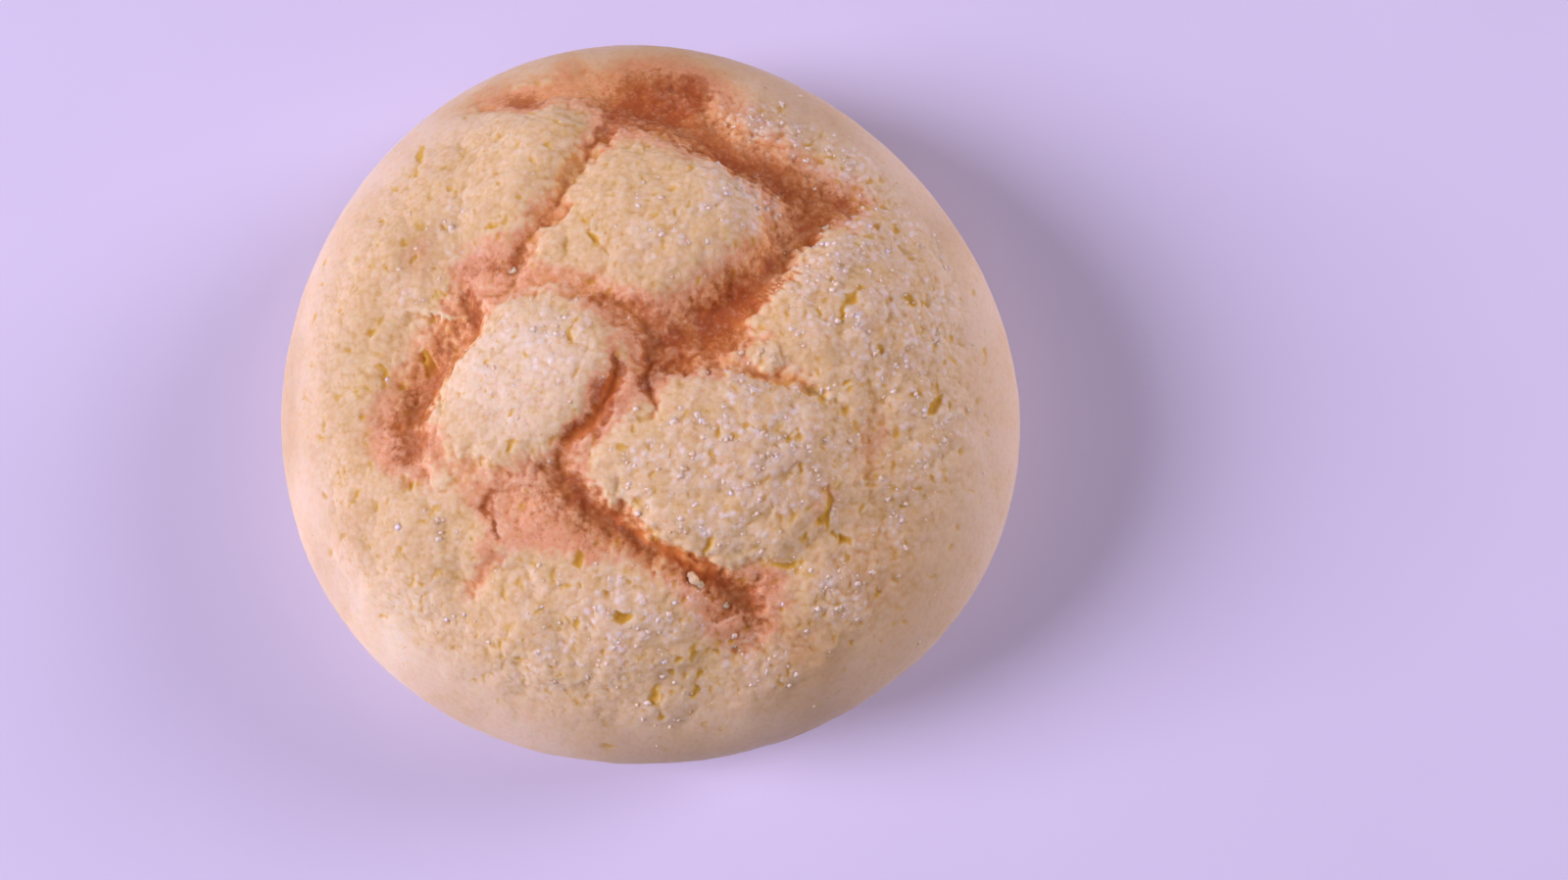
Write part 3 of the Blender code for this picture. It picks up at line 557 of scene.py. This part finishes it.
def make_crust():
    hem_way = float(np.interp(-3.4, -LEVEL[800:], WAY[800:]))
    rings = Rings()
    way = 0.0
    ways = []
    while way < hem_way:
        radius = float(np.interp(way, WAY, SHARE)) * MEAN_RADIUS
        gap = 0.380 + 0.30 * float(step(47, 60, radius)) + (0.45 * float(step(RIM_WAY - 3, RIM_WAY + 8, way)))
        way += gap * 0.88
        if way >= hem_way - 0.3:
            way = hem_way
        radius = float(np.interp(way, WAY, SHARE)) * MEAN_RADIUS
        rings.add(max(6, round(2 * math.pi * radius / gap)), ("out", way))
        ways.append(way)
    outer = len(rings.counts)
    hem_count = rings.counts[-1]
    for inset, lift, share_count in ((0.7, -0.35, 1), (1.5, -0.1, 1), (2.1, 0.9, 0.6), (2.6, 5.2, 0.4)):
        rings.add(int(hem_count * share_count), ("in", inset, lift))
    for radius in (44.0, 33.0, 22.0, 11.0):
        rings.add(max(8, int(radius * 2.4)), ("cap", radius))
    faces = rings.faces()

    total = sum(rings.counts)
    angle = np.concatenate(rings.angles)
    kind = np.concatenate([np.full(c, k) for k, c in enumerate(rings.counts)])
    points, normals = np.zeros((total, 3)), np.zeros((total, 3))
    is_out = kind < outer
    out_way = np.array(ways)[kind[is_out]]
    points[is_out], normals[is_out] = on_bun(out_way, angle[is_out])
    crown, up = on_bun(np.zeros(1), np.zeros(1))
    fields = crust_fields(np.concatenate([crown, points[is_out]]))
    height = fields.pop("height")
    # the hem's edge wanders up and down
    wander = 1.0 * noise(np.stack([60 * np.cos(angle), 60 * np.sin(angle), angle * 0], 1), 9, 51) + 0.5 * noise(
        np.stack([60 * np.cos(angle), 60 * np.sin(angle), angle * 0], 1), 2.5, 52)
    low = np.zeros(total)
    low[is_out] = step(hem_way - 6, hem_way, out_way)
    moved = points.copy()
    moved[is_out] += normals[is_out] * height[1:, None]
    moved[:, 2] += np.where(is_out, wander * low, 0)
    hem = (points[kind == outer - 1] + normals[kind == outer - 1] * height[1:][kind[is_out] == outer - 1][:, None])
    hem_angle, hem_radius = angle[kind == outer - 1], np.hypot(hem[:, 0], hem[:, 1])
    for k in range(outer, len(rings.counts)):
        here = kind == k
        tag = rings.tags[k]
        if tag[0] == "in":
            radius = np.interp(angle[here], hem_angle, hem_radius, period=2 * math.pi) - tag[1]
            moved[here] = np.stack([radius * np.cos(angle[here]), radius * np.sin(angle[here]), 3.4 + tag[2] + wander[here] * (1 if tag[2] < 2 else 0.2)], 1)
        else:
            moved[here] = np.stack([tag[1] * np.cos(angle[here]), tag[1] * np.sin(angle[here]), np.full(here.sum(), 8.6)], 1)
    vertices = np.concatenate([crown + up * height[:1, None], moved, [[0, 0, 8.6]]])

    everywhere = np.zeros(total + 2)
    everywhere[0] = height[0]
    everywhere[1:-1][is_out] = height[1:]
    fields["cave"] = hollows(faces, everywhere, 5)[np.concatenate([[True], is_out, [False]])]
    fields["dale"] = hollows(faces, everywhere, 60)[np.concatenate([[True], is_out, [False]])]
    crust = make_object("cookie_crust", vertices, faces)
    filler = {"toast": 0.12, "crumb": -3.0, "frost": 0.0, "painted_glow_bed": 0.0, "pale": 1.0, "melt": 0.0, "painted_shade_and_light": 0.0, "rim": 1.0, "deep": 0.0, "cave": 0.0, "dale": 0.0}
    for name, values in fields.items():
        everywhere = np.full(total + 2, filler[name])
        everywhere[0] = values[0]
        everywhere[1:-1][is_out] = values[1:]
        set_attribute(crust, name, everywhere)
    place = np.zeros((total + 2, 2))
    spread = np.zeros(total)
    spread[is_out] = out_way / hem_way * 0.495
    place[1:-1] = 0.5 + spread[:, None] * np.stack([np.cos(angle), np.sin(angle)], 1)
    place[0] = 0.5
    back = ~is_out
    depth_in = (kind[back] - outer + 1) / (len(rings.counts) - outer + 1)
    place[1:-1][back] = 0.065 + (1 - depth_in)[:, None] * 0.055 * np.stack([np.cos(angle[back]), np.sin(angle[back])], 1)
    place[-1] = 0.065
    set_polar_map(crust, faces, place)
    return crust, vertices, faces


# ---------------------------------------------------------------- the loaf under the crust
def make_loaf():
    rings = Rings()
    for radius in (12.0, 24.0, 36.0, 46.0):
        rings.add(max(12, int(radius * 2.4)), ("cap", radius))
    start_way = float(np.interp(-8.3, -LEVEL[800:], WAY[800:]))
    for way in np.linspace(start_way, END_WAY, 16):
        rings.add(340, ("side", way))
    radius = BASE_SHARE * MEAN_RADIUS
    while radius > 2.4:
        radius -= 1.25
        rings.add(max(8, int(2 * math.pi * radius / 1.25)), ("base", radius / (BASE_SHARE * MEAN_RADIUS)))
    faces = rings.faces()
    angle = np.concatenate(rings.angles)
    kind = np.concatenate([np.full(c, k) for k, c in enumerate(rings.counts)])
    total = len(angle)
    moved = np.zeros((total, 3))
    base_share = np.ones(total)
    for k, tag in enumerate(rings.tags):
        here = kind == k
        a = angle[here]
        if tag[0] == "cap":
            moved[here] = np.stack([tag[1] * np.cos(a), tag[1] * np.sin(a), np.full(here.sum(), 8.3)], 1)
        elif tag[0] == "side":
            points, normals = on_bun(np.full(here.sum(), tag[1]), a)
            inset = 0.9 * (1 - step(END_WAY - 2.5, END_WAY, tag[1]))
            moved[here] = points - normals * inset
        else:
            radius = tag[1] * BASE_SHARE * outline_radius(a)
            moved[here] = np.stack([radius * np.cos(a), radius * np.sin(a), np.zeros(here.sum())], 1)
            base_share[here] = tag[1]
    is_base = np.array([t[0] == "base" for t in rings.tags])[kind]
    dimple = 0.16 * np.maximum(0, noise(moved, 7, 61)) + 0.10 * np.maximum(0, noise(moved, 2.2, 62)) + 0.05 * np.maximum(0, noise(moved, 1.0, 63) - 0.1)
    moved[:, 2] += np.where(is_base, dimple * step(0, 0.12, 1 - base_share), 0)
    vertices = np.concatenate([[[0, 0, 8.3]], moved, [[0, 0, 0.05]]])
    loaf = make_object("bread_loaf", vertices, faces)
    low = np.concatenate([[0], np.where(is_base, 1 - base_share, -np.minimum(1, moved[:, 2] / 8)), [1]])
    set_attribute(loaf, "inward", low)
    place = np.zeros((total + 2, 2))
    order = np.concatenate([[len(rings.counts)], len(rings.counts) - 1 - kind + 0.0, [0]]) / len(rings.counts)
    a = np.concatenate([[0], angle, [0]])
    is_low = np.concatenate([[False], is_base | np.array([t[0] == "side" for t in rings.tags])[kind], [True]])
    reach = np.where(is_low, 0.495 * order / (1 - 4 / len(rings.counts)), 0.0)
    place[:] = 0.5 + np.clip(reach, 0, 0.495)[:, None] * np.stack([np.cos(a), np.sin(a)], 1)
    hidden = ~is_low
    inner = np.concatenate([[0], (kind + 1) / 5, [0]])
    place[hidden] = 0.065 + np.clip(inner[hidden], 0, 1)[:, None] * 0.055 * np.stack([np.cos(a[hidden]), np.sin(a[hidden])], 1)
    set_polar_map(loaf, faces, place)
    return loaf


# ---------------------------------------------------------------- sugar and crumbs
CUBE = np.array([(-1, -1, -1), (1, -1, -1), (1, 1, -1), (-1, 1, -1), (-1, -1, 1), (1, -1, 1), (1, 1, 1), (-1, 1, 1)], float) / 2
CUBE_FACES = np.array([(0, 2, 1), (0, 3, 2), (4, 5, 6), (4, 6, 7), (0, 1, 5), (0, 5, 4), (1, 2, 6), (1, 6, 5), (2, 3, 7), (2, 7, 6), (3, 0, 4), (3, 4, 7)])


def turns(rng, count):
    """Random rotation matrices."""
    q = rng.normal(size=(count, 4))
    q /= np.linalg.norm(q, axis=1)[:, None]
    w, x, y, z = q.T
    return np.stack([
        np.stack([1 - 2 * (y * y + z * z), 2 * (x * y - z * w), 2 * (x * z + y * w)], 1),
        np.stack([2 * (x * y + z * w), 1 - 2 * (x * x + z * z), 2 * (y * z - x * w)], 1),
        np.stack([2 * (x * z - y * w), 2 * (y * z + x * w), 1 - 2 * (x * x + y * y)], 1)], 1)


class Surface:
    """Picks points on the crust's triangles, by area times how much is wanted there."""

    def __init__(self, vertices, faces, wanted):
        a, b, c = vertices[faces[:, 0]], vertices[faces[:, 1]], vertices[faces[:, 2]]
        cross = np.cross(b - a, c - a)
        area = np.linalg.norm(cross, axis=1)
        self.a, self.b, self.c, self.normal = a, b, c, cross / np.maximum(area, 1e-9)[:, None]
        self.area, self.wanted = area, wanted[faces].mean(1)

    def pick(self, rng, count):
        weight = self.area * self.wanted
        chosen = rng.choice(len(weight), count, p=weight / weight.sum())
        u, v = rng.uniform(size=(2, count))
        over = u + v > 1
        u[over], v[over] = 1 - u[over], 1 - v[over]
        p = self.a[chosen] + (self.b - self.a)[chosen] * u[:, None] + (self.c - self.a)[chosen] * v[:, None]
        return p, self.normal[chosen]


def make_grains(name, surface, rng, count, low, high, sink, materials):
    """Boxy crystals with uneven corners, at all angles, partly sunk into the crust."""
    at, normal = surface.pick(rng, count)
    size = low + (high - low) * rng.beta(2.0, 2.6, count)
    shape = size[:, None] * rng.uniform(0.6, 1.15, (count, 3))
    corners = CUBE[None] * (1 + rng.uniform(-0.22, 0.22, (count, 8, 3)))
    corners = corners * shape[:, None, :]
    corners = np.einsum("nij,nkj->nki", turns(rng, count), corners)
    middle = at + normal * (size * rng.uniform(*sink, count))[:, None]
    vertices = (corners + middle[:, None, :]).reshape(-1, 3)
    faces = (CUBE_FACES[None] + 8 * np.arange(count)[:, None, None]).reshape(-1, 3)
    grains = make_object(name, vertices, faces)
    for material in materials:
        grains.data.materials.append(material)
    kinds = rng.choice(len(materials), count, p=[0.48, 0.46, 0.06][:len(materials)])
    grains.data.polygons.foreach_set("material_index", np.repeat(kinds, 12).astype(np.int32))
    return grains


def make_crumbs(surface, rng, material):
    """Little broken lumps of crust: bumpy icospheres."""
    import bmesh
    bm = bmesh.new()
    bmesh.ops.create_icosphere(bm, subdivisions=3, radius=1.0)
    ball = np.array([v.co for v in bm.verts])
    ball_faces = np.array([[v.index for v in f.verts] for f in bm.faces])
    bm.free()
    placed = [((8.5, -31.3), 1.0), ((9.8, -32), .7), ((28.5, 24.4), .7), ((13.5, -35.2), .6), ((18.2, 2.6), .8), ((20.4, 1.2), .8), ((-19.6, 15.4), .6), ((30.8, -35.5), .7)]
    at, normal = surface.pick(rng, len(placed))
    size = np.zeros(len(placed))
    top = surface.a
    for k, ((px, py), s) in enumerate(placed):
        near = ((top[:, 0] - px) ** 2 + (top[:, 1] - py) ** 2 + (top[:, 2] < 15) * 1e6).argmin()
        at[k], normal[k], size[k] = top[near], surface.normal[near], s
    vertices, faces = [], []
    for k in range(len(size)):
        stretch = rng.uniform(0.65, 1.15, 3)
        body = ball * stretch
        body = body * (0.9 + 0.5 * lump(body + 7.7 * k, 0.75, 71) + 0.3 * noise(body + 3.1 * k, 0.9, 72))[:, None]
        body = body @ turns(rng, 1)[0].T * size[k]
        vertices.append(body + at[k] + normal[k] * size[k] * -0.4)
        faces.append(ball_faces + k * len(ball))
    crumbs = make_object("crumbs", np.concatenate(vertices), np.concatenate(faces))
    crumbs.data.materials.append(material)
    return crumbs


# ---------------------------------------------------------------- materials
class Nodes:
    """Short-hand for a material's node tree. Lengths in it are mm."""

    def __init__(self, name):
        self.material = bpy.data.materials.new(name)
        self.material.use_nodes = True
        self.tree = self.material.node_tree
        self.shader = self.tree.nodes["Principled BSDF"]
        self.coords = self.tree.nodes.new("ShaderNodeTexCoord").outputs["Object"]

    def link(self, a, b):
        self.tree.links.new(a, b)

    def field(self, name):
        node = self.tree.nodes.new("ShaderNodeAttribute")
        node.attribute_type = "GEOMETRY"
        node.attribute_name = name
        return node.outputs["Fac"]

    def feed(self, socket, value):
        if hasattr(value, "links"):
            self.link(value, socket)
        else:
            socket.default_value = value

    def math(self, kind, a, b=0.0, c=0.0, clamp=False):
        node = self.tree.nodes.new("ShaderNodeMath")
        node.operation = kind
        node.use_clamp = clamp
        for socket, value in zip(node.inputs, (a, b, c)):
            self.feed(socket, value)
        return node.outputs[0]

    def ramp(self, value, low, high, to_low=0.0, to_high=1.0):
        node = self.tree.nodes.new("ShaderNodeMapRange")
        node.interpolation_type = "SMOOTHSTEP"
        for socket, v in zip(node.inputs, (value, low, high, to_low, to_high)):
            self.feed(socket, v)
        return node.outputs[0]

    def noise(self, size, detail=2.0, rough=0.5, shift=0.0):
        node = self.tree.nodes.new("ShaderNodeTexNoise")
        node.inputs["Scale"].default_value = 1000.0 / size
        node.inputs["Detail"].default_value = detail
        node.inputs["Roughness"].default_value = rough
        if shift:
            move = self.tree.nodes.new("ShaderNodeVectorMath")
            move.operation = "ADD"
            self.link(self.coords, move.inputs[0])
            move.inputs[1].default_value = (shift, shift * 0.7, -shift)
            self.link(move.outputs[0], node.inputs["Vector"])
        else:
            self.link(self.coords, node.inputs["Vector"])
        return node.outputs["Fac"]

    def voronoi(self, size, feature="F1", output="Distance"):
        node = self.tree.nodes.new("ShaderNodeTexVoronoi")
        node.feature = feature
        node.inputs["Scale"].default_value = 1000.0 / size
        self.link(self.coords, node.inputs["Vector"])
        return node.outputs[output]

    def mix(self, share, a, b, kind="MIX"):
        node = self.tree.nodes.new("ShaderNodeMix")
        node.data_type = "RGBA"
        node.blend_type = kind
        node.clamp_factor = True
        self.feed(node.inputs[0], share)
        for socket, value in ((node.inputs[6], a), (node.inputs[7], b)):
            if hasattr(value, "links"):
                self.link(value, socket)
            else:
                socket.default_value = (*value, 1.0)
        return node.outputs[2]

    def stops(self, value, stops):
        node = self.tree.nodes.new("ShaderNodeValToRGB")
        ramp = node.color_ramp
        ramp.interpolation = "EASE"
        while len(ramp.elements) < len(stops):
            ramp.elements.new(0.5)
        for element, (at, colour) in zip(ramp.elements, stops):
            element.position = at
            element.color = (*colour, 1.0)
        self.link(value, node.inputs[0])
        return node.outputs[0]

    def bump(self, height, distance, strength=1.0, normal=None):
        node = self.tree.nodes.new("ShaderNodeBump")
        node.inputs["Strength"].default_value = strength
        node.inputs["Distance"].default_value = distance * MM
        self.link(height, node.inputs["Height"])
        if normal is not None:
            self.link(normal, node.inputs["Normal"])
        return node.outputs[0]


CREAM = (0.850, 0.635, 0.280)
PALE = (0.878, 0.706, 0.422)
# painted shade: the colour that the broad hollows are painted
OCHRE = (0.765, 0.500, 0.085)
WHITISH = (0.890, 0.720, 0.440)
CARAMEL = (0.865, 0.450, 0.200)
BROWN = (0.580, 0.210, 0.052)
DARK = (0.490, 0.130, 0.024)
CRUMB = (0.785, 0.500, 0.055)
CRUMB_DEEP = (0.700, 0.390, 0.025)
SUGARY = (0.915, 0.770, 0.520)
SUGAR_WHITE = (0.950, 0.820, 0.600)
# painted glow: a light orange for the bottoms of the splits, standing in for light coming through the crumb
PAINTED_GLOW_COLOUR = (0.740, 0.235, 0.038)


def crust_material():
    n = Nodes("crust_baked")
    toast, crumb, frost, pale, painted_glow_bed, cave, dale = (n.field(f) for f in ("toast", "crumb", "frost", "pale", "painted_glow_bed", "cave", "dale"))
    melt = n.field("melt")
    cream = n.mix(pale, CREAM, PALE)
    cream = n.mix(n.ramp(n.noise(9, 2, 0.5), 0.35, 0.7), cream, n.mix(0.35, cream, (0.82, 0.57, 0.24)))
    # hollows are painted yellower, as painted shade for the light that bounces round in them; the tops of the grains
    # whiter
    still = n.ramp(n.field("rim"), 0.3, 1.0, 1.0, 0.45)
    grain = n.math("SUBTRACT", n.noise(0.7, 3, 0.6, 4.0), n.math("MULTIPLY", n.voronoi(0.95), 0.9))
    clots = n.noise(2.4, 4, 0.68, 8.0)
    cream = n.mix(n.math("MULTIPLY", n.ramp(dale, 0.1, 0.9), 0.38), cream, OCHRE)
    pricks = n.math("MULTIPLY", n.ramp(n.voronoi(1.4), 0.24, 0.12), n.ramp(n.noise(4, 2, 0.5, 9.7), 0.40, 0.55))
    cream = n.mix(n.math("MULTIPLY", pricks, n.math("MULTIPLY", still, 0.7)), cream, CRUMB)
    # toasting, broken up by mottling and grain, and made stronger in the small hollows as painted shade; the grains'
    # tops stay lighter
    mottle = n.math("SUBTRACT", n.noise(3.4, 3, 0.6, 0.3), 0.5)
    fine = n.math("SUBTRACT", n.noise(0.7, 2, 0.6, 0.7), 0.5)
    heat = n.math("MULTIPLY_ADD", n.math("MULTIPLY", mottle, toast), 0.45, toast)
    heat = n.math("MULTIPLY_ADD", n.math("MULTIPLY", fine, n.ramp(toast, 0.05, 0.5)), 0.5, heat)
    heat = n.math("MULTIPLY_ADD", n.math("MULTIPLY", cave, n.ramp(toast, 0.05, 0.4)), 0.5, heat)
    crusty = n.stops(heat, [(0.0, CREAM), (0.12, CREAM), (0.42, CARAMEL), (0.72, BROWN), (0.98, DARK)])
    colour = n.mix(n.ramp(heat, 0.05, 0.3), cream, crusty)
    # hollows between the grains and the small creases are deeper yellow and darker, partly the crumb's own colour and
    # partly painted shade; their tops and the small rises are whiter, partly sugar and partly painted highlight
    low = n.math("MULTIPLY_ADD", n.ramp(grain, 0.12, -0.3), 0.5, n.math("MULTIPLY", n.ramp(clots, 0.50, 0.30), 0.55))
    low = n.math("MULTIPLY_ADD", n.ramp(cave, 0.01, 0.13), 0.7, low)
    low = n.math("MULTIPLY", n.math("MULTIPLY", low, still, clamp=True), n.ramp(toast, 0.15, 0.6, 0.8, 0.55))
    colour = n.mix(low, colour, (0.84, 0.74, 0.42), "MULTIPLY")
    high = n.math("MULTIPLY_ADD", n.ramp(grain, 0.12, 0.42), 0.5, n.math("MULTIPLY", n.ramp(clots, 0.50, 0.70), 0.55))
    high = n.math("MULTIPLY_ADD", n.ramp(cave, 0.0, -0.12), 0.5, high)
    high = n.math("MULTIPLY", n.math("MULTIPLY", high, still, clamp=True), n.ramp(toast, 0.0, 0.6, 0.55, 0.28))
    colour = n.mix(high, colour, (0.93, 0.77, 0.48))
    pores = n.math("MULTIPLY", n.ramp(n.voronoi(0.8), 0.3, 0.12), n.ramp(toast, 0.2, 0.5, 0.0, 0.55))
    colour = n.mix(pores, colour, (0.70, 0.52, 0.40), "MULTIPLY")
    # the open crumb in pits and cracks
    edge = n.math("MULTIPLY_ADD", n.math("SUBTRACT", n.noise(0.5, 2, 0.6, 1.1), 0.5), 0.28, crumb)
    inside = n.ramp(edge, -0.25, 0.35)
    crumb_colour = n.mix(n.ramp(toast, 0.3, 0.8), n.mix(n.ramp(edge, 0.1, 0.7), CRUMB, CRUMB_DEEP), (0.60, 0.21, 0.040))
    colour = n.mix(n.math("MULTIPLY", inside, 0.95), colour, crumb_colour)
    # painted glow: deep toasted hollows and split bottoms are painted light orange, standing in for light coming
    # through the crumb
    painted_glow_mask = n.math("MAXIMUM", n.math("MULTIPLY", n.ramp(dale, 0.35, 1.2), 0.6), n.ramp(painted_glow_bed, 0.28, 0.62))
    colour = n.mix(n.math("MULTIPLY", n.math("MULTIPLY", painted_glow_mask, n.ramp(toast, 0.25, 0.6)), 0.7), colour, PAINTED_GLOW_COLOUR)
    # sugar that has half melted into the crust, in soft whitish clots
    cloud = n.ramp(n.noise(4.5, 2, 0.55, 2.3), 0.40, 0.60)
    broken = n.ramp(n.noise(1.0, 3, 0.6, 2.9), 0.34, 0.62, 0.3, 1.0)
    dust = n.math("MULTIPLY", n.math("MULTIPLY_ADD", n.math("MULTIPLY", frost, cloud), 0.45, melt), broken, clamp=True)
    dust = n.math("MULTIPLY", dust, n.math("SUBTRACT", 1.0, inside))
    dust = n.math("MULTIPLY", dust, n.ramp(cave, 0.14, -0.02))
    colour = n.mix(n.math("MULTIPLY", dust, 0.6), colour, SUGARY)
    dots = n.math("MULTIPLY", n.ramp(n.voronoi(1.35), 0.55, 0.2), n.ramp(n.math("MULTIPLY_ADD", melt, 0.7, n.math("MULTIPLY", frost, 0.3)), 0.1, 0.5))
    dots = n.math("MULTIPLY", dots, n.math("MULTIPLY", n.math("SUBTRACT", 1.0, inside), n.ramp(n.noise(2.6, 2, 0.5, 6.6), 0.36, 0.54)))
    colour = n.mix(n.math("MULTIPLY", dots, 0.9), colour, SUGAR_WHITE)
    # painted bounce light: in splits and deep hollows of the toasted crust the colour is made yellower, for light that
    # has gone round in a split
    deep = n.math("MAXIMUM", n.ramp(dale, 0.05, 0.6), n.ramp(n.field("deep"), 0.22, 0.75))
    colour = n.mix(n.math("MULTIPLY", deep, n.ramp(toast, 0.04, 0.25)), colour, (1.0, 0.96, 0.74), "MULTIPLY")
    # painted shade darkens the listed areas, and painted light lightens those below 0
    colour = n.mix(n.ramp(n.field("painted_shade_and_light"), 0.0, 1.5), colour, (0.80, 0.745, 0.655), "MULTIPLY")
    colour = n.mix(n.ramp(n.field("painted_shade_and_light"), 0.0, -1.0), colour, (1.09, 1.15, 1.20), "MULTIPLY")
    n.link(colour, n.shader.inputs["Base Color"])
    n.link(n.math("MULTIPLY_ADD", dust, -0.2, n.ramp(n.noise(1.3, 2, 0.5, 3.1), 0.3, 0.7, 0.65, 0.8)), n.shader.inputs["Roughness"])
    n.shader.inputs["Specular IOR Level"].default_value = 0.35
    n.shader.inputs["Subsurface Weight"].default_value = 0.65
    n.shader.inputs["Subsurface Radius"].default_value = (1.0, 0.6, 0.25)
    n.shader.inputs["Subsurface Scale"].default_value = 0.0026
    grainy = n.math("MULTIPLY", n.math("MULTIPLY_ADD", clots, 0.8, grain), n.math("MULTIPLY", still, n.ramp(toast, 0.15, 0.6, 0.9, 0.75)))
    first = n.bump(grainy, 0.2, 0.42)
    second = n.bump(n.math("ADD", n.math("MULTIPLY", dust, 0.5), dots), 0.2, 0.48, first)
    n.link(n.bump(n.ramp(edge, -0.1, 0.35, 1.0, 0.0), 0.15, 0.5, second), n.shader.inputs["Normal"])
    return n.material


def loaf_material():
    n = Nodes("loaf_underside")
    inward = n.field("inward")
    base = n.stops(n.ramp(n.math("MULTIPLY_ADD", n.math("SUBTRACT", n.noise(6, 4, 0.6), 0.5), 0.35, inward), -0.2, 0.5),
                   [(0.0, (0.80, 0.50, 0.20)), (0.35, (0.60, 0.27, 0.085)), (1.0, (0.66, 0.33, 0.12))])
    colour = n.mix(n.ramp(n.noise(1.4, 3, 0.6, 0.4), 0.45, 0.7), base, (0.74, 0.44, 0.19))
    n.link(colour, n.shader.inputs["Base Color"])
    n.shader.inputs["Roughness"].default_value = 0.62
    n.shader.inputs["Specular IOR Level"].default_value = 0.4
    n.link(n.bump(n.noise(0.9, 4, 0.65, 1.0), 0.18, 0.7), n.shader.inputs["Normal"])
    return n.material


def crumb_material():
    n = Nodes("crumb_baked")
    colour = n.mix(n.ramp(n.noise(0.7, 3, 0.6), 0.35, 0.7), (0.90, 0.69, 0.38), (0.84, 0.56, 0.27))
    n.link(colour, n.shader.inputs["Base Color"])
    n.shader.inputs["Roughness"].default_value = 0.75
    n.shader.inputs["Subsurface Weight"].default_value = 0.6
    n.shader.inputs["Subsurface Radius"].default_value = (1.0, 0.6, 0.25)
    n.shader.inputs["Subsurface Scale"].default_value = 0.0018
    n.link(n.bump(n.noise(0.3, 3, 0.6, 1.0), 0.08, 0.8), n.shader.inputs["Normal"])
    return n.material


def sugar_material(name, colour, rough):
    material = bpy.data.materials.new(name)
    material.use_nodes = True
    shader = material.node_tree.nodes["Principled BSDF"]
    shader.inputs["Base Color"].default_value = (*colour, 1.0)
    shader.inputs["Roughness"].default_value = rough
    shader.inputs["Specular IOR Level"].default_value = 0.5 if rough < 0.4 else 0.2
    return material


def floor_material():
    n = Nodes("floor_matt")
    n.link(n.mix(n.ramp(n.noise(60, 3, 0.5), 0.3, 0.7), (0.76, 0.735, 0.82), (0.775, 0.75, 0.835)), n.shader.inputs["Base Color"])
    n.shader.inputs["Roughness"].default_value = 0.6
    n.shader.inputs["Specular IOR Level"].default_value = 0.25
    return n.material


# ---------------------------------------------------------------- putting it together
crust, crust_vertices, crust_faces = make_crust()
crust.data.materials.append(crust_material())
loaf = make_loaf()
loaf.data.materials.append(loaf_material())

thick = np.zeros(len(crust_vertices))
crust.data.attributes["frost"].data.foreach_get("value", (frost32 := np.zeros(len(crust_vertices), np.float32)))
crust.data.attributes["crumb"].data.foreach_get("value", (crumb32 := np.zeros(len(crust_vertices), np.float32)))
heaps = step(-0.05, 0.45, noise(crust_vertices, 3.2, 81) + 0.5 * noise(crust_vertices, 1.3, 82))
wanted = frost32.astype(float) ** 1.3 * (0.12 + heaps) * (1 - 0.7 * step(0, 0.3, crumb32.astype(float))) + 0.0015 * (crust_vertices[:, 2] > 20)
surface = Surface(crust_vertices, crust_faces, wanted)
rng = np.random.default_rng(7)
sugars = [sugar_material("sugar_milky", (0.95, 0.82, 0.57), 0.5), sugar_material("sugar_warm", (0.92, 0.75, 0.45), 0.6),
          sugar_material("sugar_clear", (0.95, 0.86, 0.74), 0.25)]
grains = make_grains("sugar_grains", surface, rng, 520, 0.5, 0.95, (-0.42, -0.28), sugars)
fines = make_grains("sugar_fines", surface, rng, 500, 0.2, 0.4, (-0.34, -0.14), sugars)
crumbs = make_crumbs(Surface(crust_vertices, crust_faces, (crust_vertices[:, 2] > 34).astype(float)), rng, crumb_material())

for piece in (crust, loaf, grains, fines, crumbs):
    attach(piece, "root")
    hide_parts("melon_bread")

# ---------------------------------------------------------------- floor and light
bpy.ops.mesh.primitive_plane_add(size=6.0, location=(0, 0, 0))
floor = bpy.context.object
floor.name = "floor"
floor.data.materials.append(floor_material())

TINT = np.array([1.175, 1.0, 1.437])


def lamp(name, at, size, power, tint=TINT, aim=(0, 0, 0.02)):
    data = bpy.data.lights.new(name, "AREA")
    data.shape = "DISK"
    data.size = size
    data.energy = power
    data.color = tuple(tint / tint.max())
    made = bpy.data.objects.new(name, data)
    bpy.context.scene.collection.objects.link(made)
    made.location = at
    made.rotation_euler = (Vector(aim) - Vector(at)).to_track_quat("-Z", "Y").to_euler()
    return made


def direction(azimuth, elevation, distance):
    a, e = math.radians(azimuth), math.radians(elevation)
    return (distance * math.cos(e) * math.cos(a), distance * math.cos(e) * math.sin(a), distance * math.sin(e))


lamp("key", direction(185, 31.5, 2.5), 1.3, 79.4, TINT * (1.0, 1.005, 1.045))
lamp("fill", direction(22, 28, 2.5), 1.3, 41.0, TINT * (1.0, 0.985, 0.965))
lamp("near", direction(275, 58, 2.5), 1.3, 5.0)
world = bpy.data.worlds.new("studio")
bpy.context.scene.world = world
world.use_nodes = True
world.node_tree.nodes["Background"].inputs["Color"].default_value = (*(TINT / TINT.max()), 1.0)
world.node_tree.nodes["Background"].inputs["Strength"].default_value = 0.06
bpy.context.scene.view_settings.view_transform = "Standard"
bpy.context.scene.view_settings.look = "None"
